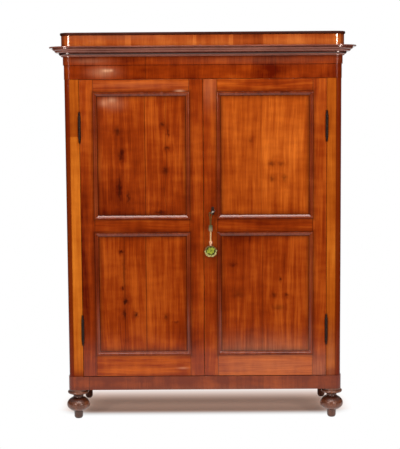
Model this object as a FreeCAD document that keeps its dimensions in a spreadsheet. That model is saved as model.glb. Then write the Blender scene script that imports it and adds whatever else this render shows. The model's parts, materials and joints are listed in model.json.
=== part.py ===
import FreeCAD, Part
import math
import operator
import os
from types import SimpleNamespace

import Sketcher

# A two-door kas cupboard with panelled doors, rounded front corners, a moulded cornice under a
# cap, turned front feet, barrel hinges and a key with a tassel.
# Millimetres, +Z up, the front faces -Y, the origin is at the middle of the footprint on the floor.

SIZES = {
    # Carcass
    "carcass_width": 1344,
    "carcass_depth": 500,
    "front_height": 1462,
    "post_width": 71,
    "post_depth": 45,
    "post_radius": 24,
    "rear_post_width": 40,
    "rear_post_depth": 45,
    "side_thick": 20,
    "tongue_thick": 8,
    "tongue_length": 10,
    "joint_clearance": 0.2,
    "back_thick": 12,
    "back_rebate": 12,
    "back_tongue_thick": 4,
    "back_tongue_length": 6,
    # Base
    "plinth_height": 67,
    "plinth_proud": 4,
    "plinth_radius": 31,
    "plinth_wall": 20,
    "bottom_thick": 20,
    "block_size": 72,
    "corner_relief": 1,
    # Feet
    "foot_height": 150,
    "foot_inset": 44,
    "pad_height": 9,
    "collar_radius": 52,
    "collar_rim": 7,
    "collar_height": 15,
    "collar_slope": 5,
    "neck_radius": 28,
    "neck_height": 15,
    "bun_radius": 53.2,
    "bun_rim": 28,
    "bun_low_rise": 20,
    "bun_high_rise": 21,
    "bun_step": 1,
    "peg_base_radius": 15.5,
    "peg_radius": 21.5,
    "peg_top_radius": 22.5,
    "peg_rounding": 16,
    "rear_foot_inset": 55.5,
    "rear_foot_radius": 19.5,
    "rear_foot_base": 11,
    "rear_foot_rounding": 19,
    "spigot_radius": 12,
    "spigot_length": 42,
    "spigot_clearance": 0.1,
    # Shelves and door stops
    "shelf_thick": 18,
    "shelf_setback": 65,
    "cleat_width": 20,
    "cleat_height": 22,
    "cleat_end_gap": 5,
    "stop_height": 15,
    "stop_depth": 20,
    "stop_gap": 1,
    # Frieze and ceiling
    "frieze_low_height": 68,
    "frieze_high_height": 40,
    "frieze_proud": 2,
    "frieze_step": 4,
    "frieze_radius": 31,
    "frieze_wall": 20,
    "ceiling_thick": 18,
    # Cornice profile, outwards from the frieze and upwards
    "bed_step": 8,
    "bed_step_rise": 4,
    "bed_out": 19,
    "bed_rise": 9,
    "bed_fillet": 6,
    "soffit_out": 32,
    "ovolo_width": 8,
    "ovolo_rise": 9.5,
    "ovolo_step": 2,
    "crown_fillet": 4,
    "cornice_out": 65,
    "cornice_edge": 6,
    # Cap
    "cap_height": 54,
    "cap_proud": 13,
    "cap_radius": 46,
    "cap_wall": 20,
    "lip_thick": 13,
    "lip_proud": 5,
    "lip_rounding": 4,
    # Doors
    "door_gap": 2,
    "hinge_gap": 2,
    "meeting_gap": 2.5,
    "door_thick": 26,
    "stile_width": 65,
    "top_rail": 61,
    "lock_rail": 66,
    "bottom_rail": 104,
    "lower_opening": 609,
    "panel_thick": 8,
    "panel_recess": 10,
    "panel_float": 0.5,
    "groove_depth": 9,
    "tenon_length": 38,
    "tenon_shoulder": 12,
    "moulding_width": 18,
    "moulding_proud": 1.5,
    "moulding_flat": 3.5,
    "moulding_edge": 2.5,
    "splay_width": 7.5,
    "splay_rise": 4.4,
    "splay_step": 1.2,
    # Barrel hinges
    "hinge_inset": 230,
    "hinge_proud": 3,
    "barrel_radius": 6.5,
    "barrel_length": 54,
    "finial_length": 22,
    "finial_radius": 4.2,
    "finial_neck": 2.6,
    "finial_collar": 5.6,
    "finial_collar_length": 2.4,
    "finial_neck_rise": 2.4,
    "finial_swell_rise": 5,
    "finial_tip": 1.6,
    "ring_inset": 6,
    "ring_width": 2,
    "ring_depth": 0.8,
    "pin_radius": 3.5,
    "pin_length": 45,
    "pin_clearance": 0.05,
    "pin_end_clearance": 1,
    "knuckle_gap": 0.4,
    "notch_clearance": 0.4,
    "leaf_thick": 2,
    "leaf_depth": 27,
    "leaf_length": 46,
    "leaf_end": 6,
    # Lock
    "case_inset": 1.75,
    "case_width": 60,
    "case_depth": 16,
    "case_wall": 1.5,
    "case_below_key": 40,
    "case_above_key": 36,
    "bolt_rise": 8,
    "bolt_height": 18,
    "bolt_length": 56,
    "bolt_thick": 8,
    "bolt_setback": 3,
    "bolt_travel": 15,
    "bolt_clearance": 0.3,
    "talon_width": 9.4,
    "talon_depth": 6,
    "guide_thick": 4,
    "guide_length": 24,
    # Key
    "key_inset": 42.75,
    "key_rise": 36,
    "key_rest_angle": 56,
    "key_clearance": 0.05,
    "stem_radius": 3.5,
    "stem_collar": 5,
    "stem_collar_length": 5,
    "bit_reach": 12,
    "bit_thick": 3,
    "bit_length": 6,
    "bow_radius": 13,
    "bow_tube": 2.5,
    "bow_stand": 28,
    "keyhole_radius": 4.5,
    "keyhole_slot": 4,
    "keyhole_drop": 13.5,
    "escutcheon_radius": 6.5,
    "escutcheon_above_key": 18,
    "escutcheon_below_key": 9.5,
    "escutcheon_depth": 2,
    "escutcheon_proud": 0.4,
    # Tassel
    "cord_radius": 2.2,
    "cord_gap": 0.4,
    "loop_drop": 57.7,
    "sleeve_length": 29,
    "sleeve_radius": 10,
    "sleeve_top_radius": 8,
    "sleeve_base_radius": 5.5,
    "drop_radius": 4,
    "drop_length": 44,
    "knot_length": 26,
    "knot_radius": 8.5,
    "knot_end_radius": 5.5,
    "ball_width": 62,
    "ball_depth": 56,
    "ball_height": 60,
    "ball_flat": 2,
    "ball_setoff": 30,
    # Slide bolts of the left door
    "rod_inset": 33,
    "rod_radius": 4,
    "rod_length": 98,
    "rod_setoff": 11,
    "rod_tip_gap": 2,
    "rod_clearance": 0.08,
    "rod_hole_clearance": 0.4,
    "knob_radius": 5,
    "knob_length": 16,
    "plate_width": 28,
    "plate_thick": 2,
    "plate_end_gap": 4,
    "staple_width": 18,
    "staple_height": 10,
    "staple_inset": 8,
    "staple_cover": 3,
}

BACK_BOARD_COUNT = 7
SHELF_NAMES = ("shelf_lower", "shelf_middle", "shelf_upper")
QUARTER_ARC = math.sqrt(0.5)
SHALLOW_ARC = 1.0
GENTLE_ARC = 1.5
FULL_TURN = 360
HALF_TURN = 180
QUARTER_TURN = 90
OPERATIONS = {"+": operator.add, "-": operator.sub, "*": operator.mul, "/": operator.truediv}
X_AXIS = FreeCAD.Vector(1, 0, 0)
Y_AXIS = FreeCAD.Vector(0, 1, 0)
Z_AXIS = FreeCAD.Vector(0, 0, 1)
ZERO_LENGTH = 1e-9
# How a sketch numbers its origin, its axes and the two ends of an edge
SKETCH_ORIGIN = (-1, 1)
LEVEL_AXIS_INDEX = -1
UPRIGHT_AXIS_INDEX = -2
OTHER_END = {1: 2, 2: 1}

doc = FreeCAD.newDocument("kas_cupboard")
sheet = doc.addObject("Spreadsheet::Sheet", "sizes")
for row, (alias, number) in enumerate(SIZES.items(), start=1):
    sheet.set(f"A{row}", str(number))
    sheet.setAlias(f"A{row}", alias)
doc.recompute()


# Sizes that keep their formula

class Size:
    """A length that keeps its number together with the sheet formula that gives it."""

    def __init__(self, value, formula):
        self.value = value
        self.formula = formula

    def __add__(self, other):
        return combine(self, "+", other)

    def __radd__(self, other):
        return combine(other, "+", self)

    def __sub__(self, other):
        return combine(self, "-", other)

    def __rsub__(self, other):
        return combine(other, "-", self)

    def __mul__(self, other):
        return combine(self, "*", other)

    def __rmul__(self, other):
        return combine(other, "*", self)

    def __truediv__(self, other):
        return combine(self, "/", other)

    def __neg__(self):
        return combine(0, "-", self)


def as_size(item):
    return item if isinstance(item, Size) else Size(item, repr(item))


def combine(left, sign, right):
    left = as_size(left)
    right = as_size(right)
    value = OPERATIONS[sign](left.value, right.value)
    return Size(value, f"({left.formula} {sign} {right.formula})")


def distance(across, along):
    """The straight distance of two steps at a right angle."""
    across = as_size(across)
    along = as_size(along)
    return Size(math.hypot(across.value, along.value), f"sqrt({across.formula}^2 + {along.formula}^2)")


def sine(angle):
    return Size(math.sin(math.radians(angle.value)), f"sin({angle.formula})")


def cosine(angle):
    return Size(math.cos(math.radians(angle.value)), f"cos({angle.formula})")


size = SimpleNamespace(**{name: Size(getattr(sheet, name), f"sizes.{name}") for name in SIZES})
ZERO = Size(0, "0")


# Building helpers

NODES = {}
CUTS = []


def node(solid, name):
    """Keeps a finished sub-part under its name."""
    solid.Label = name
    NODES[name] = solid
    return solid


def bind(item, path, length):
    item.setExpression(path, as_size(length).formula)


def bind_place(item, x, y, z):
    bind(item, "Placement.Base.x", x)
    bind(item, "Placement.Base.y", y)
    bind(item, "Placement.Base.z", z)


def box(name, x, y, z):
    """A block between two limits on each axis."""
    solid = doc.addObject("Part::Box", name)
    bind(solid, "Length", x[1] - x[0])
    bind(solid, "Width", y[1] - y[0])
    bind(solid, "Height", z[1] - z[0])
    bind_place(solid, x[0], y[0], z[0])
    return solid


def rod(name, radius, foot, length, axis=Z_AXIS):
    """A cylinder from its foot along an axis."""
    solid = doc.addObject("Part::Cylinder", name)
    solid.Placement = FreeCAD.Placement(FreeCAD.Vector(), FreeCAD.Rotation(Z_AXIS, axis))
    bind(solid, "Radius", radius)
    bind(solid, "Height", length)
    bind_place(solid, *foot)
    return solid


def fuse(name, *solids):
    joined = doc.addObject("Part::MultiFuse", name)
    joined.Shapes = list(solids)
    return joined


def cut(name, base, *tools):
    """The base with every tool taken away."""
    result = doc.addObject("Part::Cut", name)
    result.Base = base
    result.Tool = tools[0] if len(tools) == 1 else fuse(f"{name}_tools", *tools)
    CUTS.append(result)
    return result


def group(name, *solids):
    """Separate solids that share one node."""
    together = doc.addObject("Part::Compound", name)
    together.Links = list(solids)
    return together


def mirrored(name, source):
    """The same piece on the left-hand side."""
    mirror = doc.addObject("Part::Mirroring", name)
    mirror.Source = source
    mirror.Base = FreeCAD.Vector()
    mirror.Normal = X_AXIS
    return mirror


def new_body(name):
    return doc.addObject("PartDesign::Body", name)


def edge_between(start, end, share):
    """A sketch edge, its radius or None, and which of its ends is the start."""
    first = FreeCAD.Vector(start[0].value, start[1].value, 0)
    last = FreeCAD.Vector(end[0].value, end[1].value, 0)
    if share is None:
        return Part.LineSegment(first, last), None, 1
    radius = abs(share) * distance(end[0] - start[0], end[1] - start[1])
    chord = last - first
    rise = math.sqrt(radius.value ** 2 - (chord.Length / 2) ** 2)
    left = FreeCAD.Vector(-chord.y, chord.x, 0).normalize()
    centre = (first + last) / 2 + left * math.copysign(rise, share)
    begin, finish = (first, last) if share > 0 else (last, first)
    angles = [math.atan2(point.y - centre.y, point.x - centre.x) for point in (begin, finish)]
    if angles[1] < angles[0]:
        angles[1] += 2 * math.pi
    arc = Part.ArcOfCircle(Part.Circle(centre, Z_AXIS, radius.value), *angles)
    return arc, radius, 1 if share > 0 else 2


def place_rule(kind, edge, end, length):
    """The constraint that keeps a corner at its distance from an axis of the sketch."""
    if abs(length.value) > ZERO_LENGTH:
        return Sketcher.Constraint(kind, *SKETCH_ORIGIN, edge, end, length.value), length
    axis = UPRIGHT_AXIS_INDEX if kind == "DistanceX" else LEVEL_AXIS_INDEX
    return Sketcher.Constraint("PointOnObject", edge, end, axis), None


def place_rules(edge, end, place):
    return [place_rule("DistanceX", edge, end, place[0]), place_rule("DistanceY", edge, end, place[1])]


def chain(corners, base, closed):
    """The edges through a row of corners, and the rules, each with its length, that hold them."""
    places = [(as_size(corner[0]), as_size(corner[1])) for corner in corners]
    count = len(places) if closed else len(places) - 1
    drawn = []
    for i in range(count):
        share = corners[i][2] if len(corners[i]) > 2 else None
        drawn.append(edge_between(places[i], places[(i + 1) % len(places)], share))
    rules = []
    for i, (edge, radius, start) in enumerate(drawn):
        rules += place_rules(base + i, start, places[i])
        if radius is not None:
            rules.append((Sketcher.Constraint("Radius", base + i, radius.value), radius))
        if closed or i + 1 < count:
            after = (i + 1) % count
            ends = (base + i, OTHER_END[start], base + after, drawn[after][2])
            rules.append((Sketcher.Constraint("Coincident", *ends), None))
    if not closed:
        rules += place_rules(base + count - 1, OTHER_END[drawn[-1][2]], places[-1])
    return [edge for edge, radius, start in drawn], rules


def outline(body, name, role, *rows, lift=None, closed=True):
    """A sketch of one or more rows of corners on one of the body's own planes.

    Each corner is (across, up), with a third entry where the edge that leaves it is an arc: the
    arc's radius as a share of its chord, negative where the centre is on the right of the way.
    """
    sketch = body.newObject("Sketcher::SketchObject", name)
    plane = next(item for item in body.Origin.OriginFeatures if item.Role == role)
    sketch.AttachmentSupport = [(plane, "")]
    sketch.MapMode = "FlatFace"
    if lift is not None:
        bind(sketch, "AttachmentOffset.Base.z", lift)
    edges = []
    rules = []
    for corners in rows:
        row_edges, row_rules = chain(corners, len(edges), closed)
        edges += row_edges
        rules += row_rules
    sketch.addGeometry(edges, False)
    sketch.addConstraint([rule for rule, length in rules])
    for index, (rule, length) in enumerate(rules):
        if length is not None:
            bind(sketch, f"Constraints[{index}]", length)
    return sketch


def pad(body, sketch, length):
    feature = body.newObject("PartDesign::Pad", f"{sketch.Name}_pad")
    feature.Profile = sketch
    bind(feature, "Length", length)
    return feature


def prism(name, role, corners, low, high):
    """A piece of constant section between two limits on the axis across its plane."""
    body = new_body(name)
    lift = -high if role == "XZ_Plane" else low
    pad(body, outline(body, f"{name}_section", role, corners, lift=lift), high - low)
    return body


def turned(name, corners, x, y, z):
    """A turned piece: its half section (radius, height) revolved about an upright axis."""
    body = new_body(name)
    sketch = outline(body, f"{name}_section", "XZ_Plane", corners)
    feature = body.newObject("PartDesign::Revolution", f"{name}_turn")
    feature.Profile = sketch
    feature.ReferenceAxis = (sketch, ["V_Axis"])
    feature.Angle = FULL_TURN
    bind_place(body, x, y, z)
    return body


# Levels and faces that the pieces share

half_width = size.carcass_width / 2
back_y = (size.carcass_depth + size.frieze_proud + size.frieze_step + size.cornice_out) / 2
front_y = back_y - size.carcass_depth
plinth_z = size.foot_height
floor_z = plinth_z + size.plinth_height
bottom_z = floor_z - size.bottom_thick
ceiling_z = floor_z + size.front_height
frieze_step_z = ceiling_z + size.frieze_low_height
cornice_z = frieze_step_z + size.frieze_high_height
bed_z = cornice_z + size.bed_step_rise + size.bed_rise
soffit_z = bed_z + size.bed_fillet
ovolo_z = soffit_z + size.ovolo_rise
crown_z = ovolo_z + size.ovolo_rise + size.crown_fillet
cap_z = crown_z + size.cornice_edge
lip_z = cap_z + size.cap_height
top_z = lip_z + size.lip_thick

post_x = half_width - size.post_width
post_back_y = front_y + size.post_depth
side_x = half_width - size.side_thick
rear_post_x = half_width - size.rear_post_width
rear_post_y = back_y - size.rear_post_depth
back_board_y = back_y - size.back_thick
tongue_low_x = side_x + (size.side_thick - size.tongue_thick) / 2
tongue_high_x = tongue_low_x + size.tongue_thick

plinth_half = half_width + size.plinth_proud
plinth_front_y = front_y - size.plinth_proud
plinth_in_x = plinth_half - size.plinth_wall
plinth_in_y = plinth_front_y + size.plinth_wall
plinth_return_y = plinth_front_y + size.plinth_radius
plinth_corner = size.plinth_radius - size.plinth_wall + size.corner_relief

frieze_half = half_width + size.frieze_proud
frieze_front_y = front_y - size.frieze_proud
frieze_in_x = frieze_half - size.frieze_wall
frieze_in_y = frieze_front_y + size.frieze_wall
frieze_return_y = frieze_front_y + size.frieze_radius
frieze_corner = size.frieze_radius - size.frieze_wall + size.corner_relief
cornice_half = frieze_half + size.frieze_step
cornice_front_y = frieze_front_y - size.frieze_step

cap_half = half_width + size.cap_proud
cap_front_y = front_y - size.cap_proud
cap_return_y = cap_front_y + size.cap_radius

hinge_x = post_x - size.hinge_gap / 2
hinge_y = front_y - size.hinge_proud
door_edge_x = post_x - size.hinge_gap
meeting_x = size.meeting_gap / 2
door_low_z = floor_z + size.door_gap
door_high_z = ceiling_z - size.door_gap
door_back_y = front_y + size.door_thick
opening_low_x = meeting_x + size.stile_width
opening_high_x = door_edge_x - size.stile_width
bottom_rail_z = door_low_z + size.bottom_rail
lock_rail_z = bottom_rail_z + size.lower_opening
lock_rail_top_z = lock_rail_z + size.lock_rail
top_rail_z = door_high_z - size.top_rail
groove_y = (front_y + size.panel_recess, front_y + size.panel_recess + size.panel_thick)
hinge_levels = (door_low_z + size.hinge_inset, door_high_z - size.hinge_inset)
stop_y = (door_back_y + size.stop_gap, door_back_y + size.stop_gap + size.stop_depth)
stop_low_z = (floor_z, floor_z + size.stop_height)
stop_high_z = (ceiling_z - size.stop_height, ceiling_z)

key_x = meeting_x + size.key_inset
key_z = lock_rail_top_z + size.key_rise
bow_y = front_y - size.bow_stand
hang_x = key_x - size.bow_radius * sine(size.key_rest_angle)
hang_z = key_z - size.bow_radius * cosine(size.key_rest_angle)
rod_x = -(meeting_x + size.rod_inset)
rod_y = door_back_y + size.rod_setoff


# Base: plinth boards, corner blocks, bottom board and feet

def rounded_front(half, front, radius, wall):
    """Plan of a front board of even thickness whose ends turn the rounded corners."""
    inner = radius - wall
    turn_y = front + radius
    return [
        (-half, turn_y, QUARTER_ARC),
        (radius - half, front),
        (half - radius, front, QUARTER_ARC),
        (half, turn_y),
        (half - wall, turn_y, -QUARTER_ARC),
        (half - wall - inner, turn_y - inner),
        (inner + wall - half, turn_y - inner, -QUARTER_ARC),
        (wall - half, turn_y),
    ]


def clipped_board(half, front, back, clip):
    """Plan of a board whose two front corners are clipped to clear a rounded corner."""
    return [
        (clip - half, front),
        (half - clip, front),
        (half, front + clip),
        (half, back),
        (-half, back),
        (-half, front + clip),
    ]


def make_plinth():
    front = rounded_front(plinth_half, plinth_front_y, size.plinth_radius, size.plinth_wall)
    node(prism("plinth_front", "XY_Plane", front, plinth_z, floor_z), "plinth_front")
    right = box("plinth_right", (plinth_in_x, plinth_half), (plinth_return_y, back_y), (plinth_z, floor_z))
    node(group("plinth_sides", mirrored("plinth_left", right), right), "plinth_sides")
    back_span = (back_y - size.plinth_wall, back_y)
    node(box("plinth_back", (-plinth_in_x, plinth_in_x), back_span, (plinth_z, floor_z)), "plinth_back")


def make_corner_blocks():
    """Glue blocks inside the plinth, bored for the feet."""
    low_x = plinth_in_x - size.block_size
    front_plan = [
        (low_x, plinth_in_y),
        (plinth_in_x - plinth_corner, plinth_in_y),
        (plinth_in_x, plinth_in_y + plinth_corner),
        (plinth_in_x, plinth_in_y + size.block_size),
        (low_x, plinth_in_y + size.block_size),
    ]
    front_block = prism("front_block", "XY_Plane", front_plan, plinth_z, bottom_z)
    rear_back_y = back_y - size.plinth_wall
    rear_block = box("rear_block", (low_x, plinth_in_x), (rear_back_y - size.block_size, rear_back_y),
                     (plinth_z, bottom_z))
    bore_radius = size.spigot_radius + size.spigot_clearance
    drilled = []
    for name, block, (x, y) in (("front", front_block, front_foot_place()),
                                ("rear", rear_block, rear_foot_place())):
        bore = rod(f"{name}_foot_bore", bore_radius, (x, y, plinth_z), bottom_z - plinth_z)
        right = cut(f"{name}_block_right", block, bore)
        drilled += [right, mirrored(f"{name}_block_left", right)]
    node(group("base_corner_blocks", *drilled), "base_corner_blocks")


def front_foot_place():
    return plinth_half - size.foot_inset, plinth_front_y + size.foot_inset


def rear_foot_place():
    return plinth_half - size.rear_foot_inset, back_y + size.plinth_proud - size.rear_foot_inset


def make_front_feet():
    """Turned feet: a peg, a bun with a rounded rim, a hollow neck and a collar under a pad."""
    pad_z = size.foot_height - size.pad_height
    pad_radius = size.collar_radius - size.collar_rim
    collar_z = pad_z - size.collar_height
    neck_top_z = collar_z - size.collar_slope
    bun_top_z = neck_top_z - size.neck_height
    rim_top_z = bun_top_z - size.bun_high_rise
    rim_low_z = rim_top_z - size.bun_rim
    bun_low_z = rim_low_z - size.bun_low_rise
    section = [
        (ZERO, ZERO),
        (size.peg_base_radius, ZERO, SHALLOW_ARC),
        (size.peg_radius, size.peg_rounding),
        (size.peg_top_radius, bun_low_z),
        (size.peg_top_radius + size.bun_step, bun_low_z, GENTLE_ARC),
        (size.bun_radius, rim_low_z, SHALLOW_ARC),
        (size.bun_radius, rim_top_z, GENTLE_ARC),
        (size.neck_radius, bun_top_z, -QUARTER_ARC),
        (size.neck_radius, neck_top_z),
        (pad_radius, collar_z, QUARTER_ARC),
        (size.collar_radius, collar_z + size.collar_height / 2, QUARTER_ARC),
        (pad_radius, pad_z),
        (pad_radius, size.foot_height),
        (size.spigot_radius, size.foot_height),
        (size.spigot_radius, size.foot_height + size.spigot_length),
        (ZERO, size.foot_height + size.spigot_length),
    ]
    x, y = front_foot_place()
    right = node(turned("front_foot_right", section, x, y, ZERO), "front_foot_right")
    node(mirrored("front_foot_left", right), "front_foot_left")


def make_rear_feet():
    """Plain pegs with a rounded foot at the back."""
    section = [
        (ZERO, ZERO),
        (size.rear_foot_base, ZERO, SHALLOW_ARC),
        (size.rear_foot_radius, size.rear_foot_rounding),
        (size.rear_foot_radius, size.foot_height),
        (size.spigot_radius, size.foot_height),
        (size.spigot_radius, size.foot_height + size.spigot_length),
        (ZERO, size.foot_height + size.spigot_length),
    ]
    x, y = rear_foot_place()
    right = turned("rear_foot_right", section, x, y, ZERO)
    node(group("rear_feet", mirrored("rear_foot_left", right), right), "rear_feet")


def make_bottom_board():
    plan = clipped_board(plinth_in_x, plinth_in_y, back_y - size.plinth_wall, plinth_corner)
    node(prism("bottom_board", "XY_Plane", plan, bottom_z, floor_z), "bottom_board")


# Carcass: posts, sides, back boards, shelves and door stops

def make_front_posts():
    """Posts with a rounded outer corner, a groove for the side and seats for the hinges."""
    groove_end_y = post_back_y - size.tongue_length
    plan = [
        (post_x, front_y),
        (half_width - size.post_radius, front_y, QUARTER_ARC),
        (half_width, front_y + size.post_radius),
        (half_width, post_back_y),
        (tongue_high_x, post_back_y),
        (tongue_high_x, groove_end_y),
        (tongue_low_x, groove_end_y),
        (tongue_low_x, post_back_y),
        (post_x, post_back_y),
    ]
    blank = prism("front_post_blank", "XY_Plane", plan, floor_z, ceiling_z)
    seats = []
    for name, level in zip(("low", "high"), hinge_levels):
        seats.append(hinge_notch(f"post_{name}_notch", level))
        seats.append(pintle_leaf(f"post_{name}_seat", level))
    right = node(cut("front_post_right", blank, *seats), "front_post_right")
    node(mirrored("front_post_left", right), "front_post_left")


def make_rear_posts():
    """Posts grooved for the sides and rebated for the back boards."""
    groove_end_y = rear_post_y + size.tongue_length
    rebate_x = rear_post_x + size.back_rebate
    plan = [
        (rear_post_x, rear_post_y),
        (tongue_low_x, rear_post_y),
        (tongue_low_x, groove_end_y),
        (tongue_high_x, groove_end_y),
        (tongue_high_x, rear_post_y),
        (half_width, rear_post_y),
        (half_width, back_y),
        (rebate_x, back_y),
        (rebate_x, back_board_y),
        (rear_post_x, back_board_y),
    ]
    right = prism("rear_post_right", "XY_Plane", plan, floor_z, ceiling_z)
    node(group("rear_posts", mirrored("rear_post_left", right), right), "rear_posts")


def make_side_panels():
    """Solid sides with a tongue along both upright edges."""
    reach = size.tongue_length - size.joint_clearance
    plan = [
        (side_x, post_back_y),
        (tongue_low_x, post_back_y),
        (tongue_low_x, post_back_y - reach),
        (tongue_high_x, post_back_y - reach),
        (tongue_high_x, post_back_y),
        (half_width, post_back_y),
        (half_width, rear_post_y),
        (tongue_high_x, rear_post_y),
        (tongue_high_x, rear_post_y + reach),
        (tongue_low_x, rear_post_y + reach),
        (tongue_low_x, rear_post_y),
        (side_x, rear_post_y),
    ]
    right = prism("side_panel_right", "XY_Plane", plan, floor_z, ceiling_z)
    node(group("side_panels", mirrored("side_panel_left", right), right), "side_panels")


def back_board_plan(low_x, high_x, first, last):
    """Plan of one back board: a groove on its left edge and a tongue on its right one."""
    inset = (size.back_thick - size.back_tongue_thick) / 2
    tongue_y = (back_board_y + inset, back_y - inset)
    plan = [(low_x, back_board_y), (high_x, back_board_y)]
    if not last:
        tongue_x = high_x + size.back_tongue_length - size.joint_clearance
        plan += [(high_x, tongue_y[0]), (tongue_x, tongue_y[0])]
        plan += [(tongue_x, tongue_y[1]), (high_x, tongue_y[1])]
    plan += [(high_x, back_y), (low_x, back_y)]
    if not first:
        groove_x = low_x + size.back_tongue_length
        plan += [(low_x, tongue_y[1]), (groove_x, tongue_y[1])]
        plan += [(groove_x, tongue_y[0]), (low_x, tongue_y[0])]
    return plan


def make_back_boards():
    """Upright tongued boards that close the back."""
    edge_x = rear_post_x + size.back_rebate
    width = 2 * edge_x / BACK_BOARD_COUNT
    boards = []
    for index in range(BACK_BOARD_COUNT):
        low_x = index * width - edge_x
        plan = back_board_plan(low_x, low_x + width, index == 0, index == BACK_BOARD_COUNT - 1)
        boards.append(prism(f"back_board_{index}", "XY_Plane", plan, floor_z, ceiling_z))
    node(group("back_boards", *boards), "back_boards")


def make_shelves():
    """Shelves notched round the rear posts, on cleats along the sides."""
    cleats = []
    spacing = size.front_height / (len(SHELF_NAMES) + 1)
    shelf_front_y = front_y + size.shelf_setback
    plan = [
        (-side_x, shelf_front_y),
        (side_x, shelf_front_y),
        (side_x, rear_post_y),
        (rear_post_x, rear_post_y),
        (rear_post_x, back_board_y),
        (-rear_post_x, back_board_y),
        (-rear_post_x, rear_post_y),
        (-side_x, rear_post_y),
    ]
    for index, name in enumerate(SHELF_NAMES, start=1):
        shelf_top_z = floor_z + spacing * index
        shelf_low_z = shelf_top_z - size.shelf_thick
        node(prism(name, "XY_Plane", plan, shelf_low_z, shelf_top_z), name)
        cleat = box(f"{name}_cleat_right", (side_x - size.cleat_width, side_x),
                    (shelf_front_y + size.cleat_end_gap, rear_post_y - size.cleat_end_gap),
                    (shelf_low_z - size.cleat_height, shelf_low_z))
        cleats += [cleat, mirrored(f"{name}_cleat_left", cleat)]
    node(group("shelf_cleats", *cleats), "shelf_cleats")


def make_door_stops():
    """Strips behind the doors at top and bottom, bored for the left door's slide bolts."""
    strips = []
    for name, span in (("low", stop_low_z), ("high", stop_high_z)):
        strip = box(f"{name}_strip", (-post_x, post_x), stop_y, span)
        hole = rod(f"{name}_strip_hole", size.rod_radius + size.rod_hole_clearance,
                   (rod_x, rod_y, span[0]), size.stop_height)
        strips.append(cut(f"{name}_stop", strip, hole))
    node(group("door_stops", *strips), "door_stops")


# Top: frieze, ceiling, cornice and cap

def make_frieze():
    """A lower band and a slightly prouder upper band behind the cornice."""
    front = new_body("frieze_front")
    low_plan = rounded_front(frieze_half, frieze_front_y, size.frieze_radius, size.frieze_wall)
    low_sketch = outline(front, "frieze_low_plan", "XY_Plane", low_plan, lift=ceiling_z)
    pad(front, low_sketch, size.frieze_low_height)
    high_plan = rounded_front(cornice_half, cornice_front_y, size.frieze_radius + size.frieze_step,
                              size.frieze_wall + size.frieze_step)
    high_sketch = outline(front, "frieze_high_plan", "XY_Plane", high_plan, lift=frieze_step_z)
    pad(front, high_sketch, cap_z - frieze_step_z)
    node(front, "frieze_front")
    section = [
        (frieze_in_x, ceiling_z),
        (frieze_half, ceiling_z),
        (frieze_half, frieze_step_z),
        (cornice_half, frieze_step_z),
        (cornice_half, cap_z),
        (frieze_in_x, cap_z),
    ]
    right = prism("frieze_right", "XZ_Plane", section, frieze_return_y, back_y)
    node(group("frieze_sides", mirrored("frieze_left", right), right), "frieze_sides")
    back_span = (back_y - size.frieze_wall, back_y)
    node(box("frieze_back", (-frieze_in_x, frieze_in_x), back_span, (ceiling_z, cap_z)), "frieze_back")


def make_ceiling():
    plan = clipped_board(frieze_in_x, frieze_in_y, back_y - size.frieze_wall, frieze_corner)
    node(prism("top_board", "XY_Plane", plan, ceiling_z, ceiling_z + size.ceiling_thick), "top_board")


def cornice_section():
    """Stepped bed mould, soffit, two ovolos and a thin edge, as (outwards, up)."""
    bed_x = cornice_half + size.bed_out
    soffit_x = cornice_half + size.soffit_out
    ovolo_x = soffit_x + size.ovolo_width
    crown_x = ovolo_x + size.ovolo_step + size.ovolo_width
    return [
        (cornice_half, cornice_z),
        (cornice_half + size.bed_step, cornice_z),
        (cornice_half + size.bed_step, cornice_z + size.bed_step_rise, SHALLOW_ARC),
        (bed_x, bed_z),
        (bed_x, soffit_z),
        (soffit_x, soffit_z, SHALLOW_ARC),
        (ovolo_x, ovolo_z),
        (ovolo_x + size.ovolo_step, ovolo_z, SHALLOW_ARC),
        (crown_x, ovolo_z + size.ovolo_rise),
        (crown_x, crown_z),
        (cornice_half + size.cornice_out, crown_z),
        (cornice_half + size.cornice_out, cap_z),
        (cornice_half, cap_z),
    ]


def make_cornice():
    """The moulding follows the frieze round both front corners and returns along the sides."""
    front = new_body("cornice_front")
    section = outline(front, "cornice_front_section", "XZ_Plane", cornice_section(), lift=-frieze_return_y)
    radius = frieze_return_y - cornice_front_y
    stations = [
        (cornice_half, frieze_return_y, -QUARTER_ARC),
        (cornice_half - radius, cornice_front_y),
        (radius - cornice_half, cornice_front_y, -QUARTER_ARC),
        (-cornice_half, frieze_return_y),
    ]
    sweep = front.newObject("PartDesign::AdditivePipe", "cornice_sweep")
    sweep.Profile = section
    sweep.Spine = (outline(front, "cornice_path", "XY_Plane", stations, closed=False), [])
    node(front, "cornice_front")
    right = prism("cornice_right", "XZ_Plane", cornice_section(), frieze_return_y, back_y)
    node(group("cornice_sides", mirrored("cornice_left", right), right), "cornice_sides")


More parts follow.
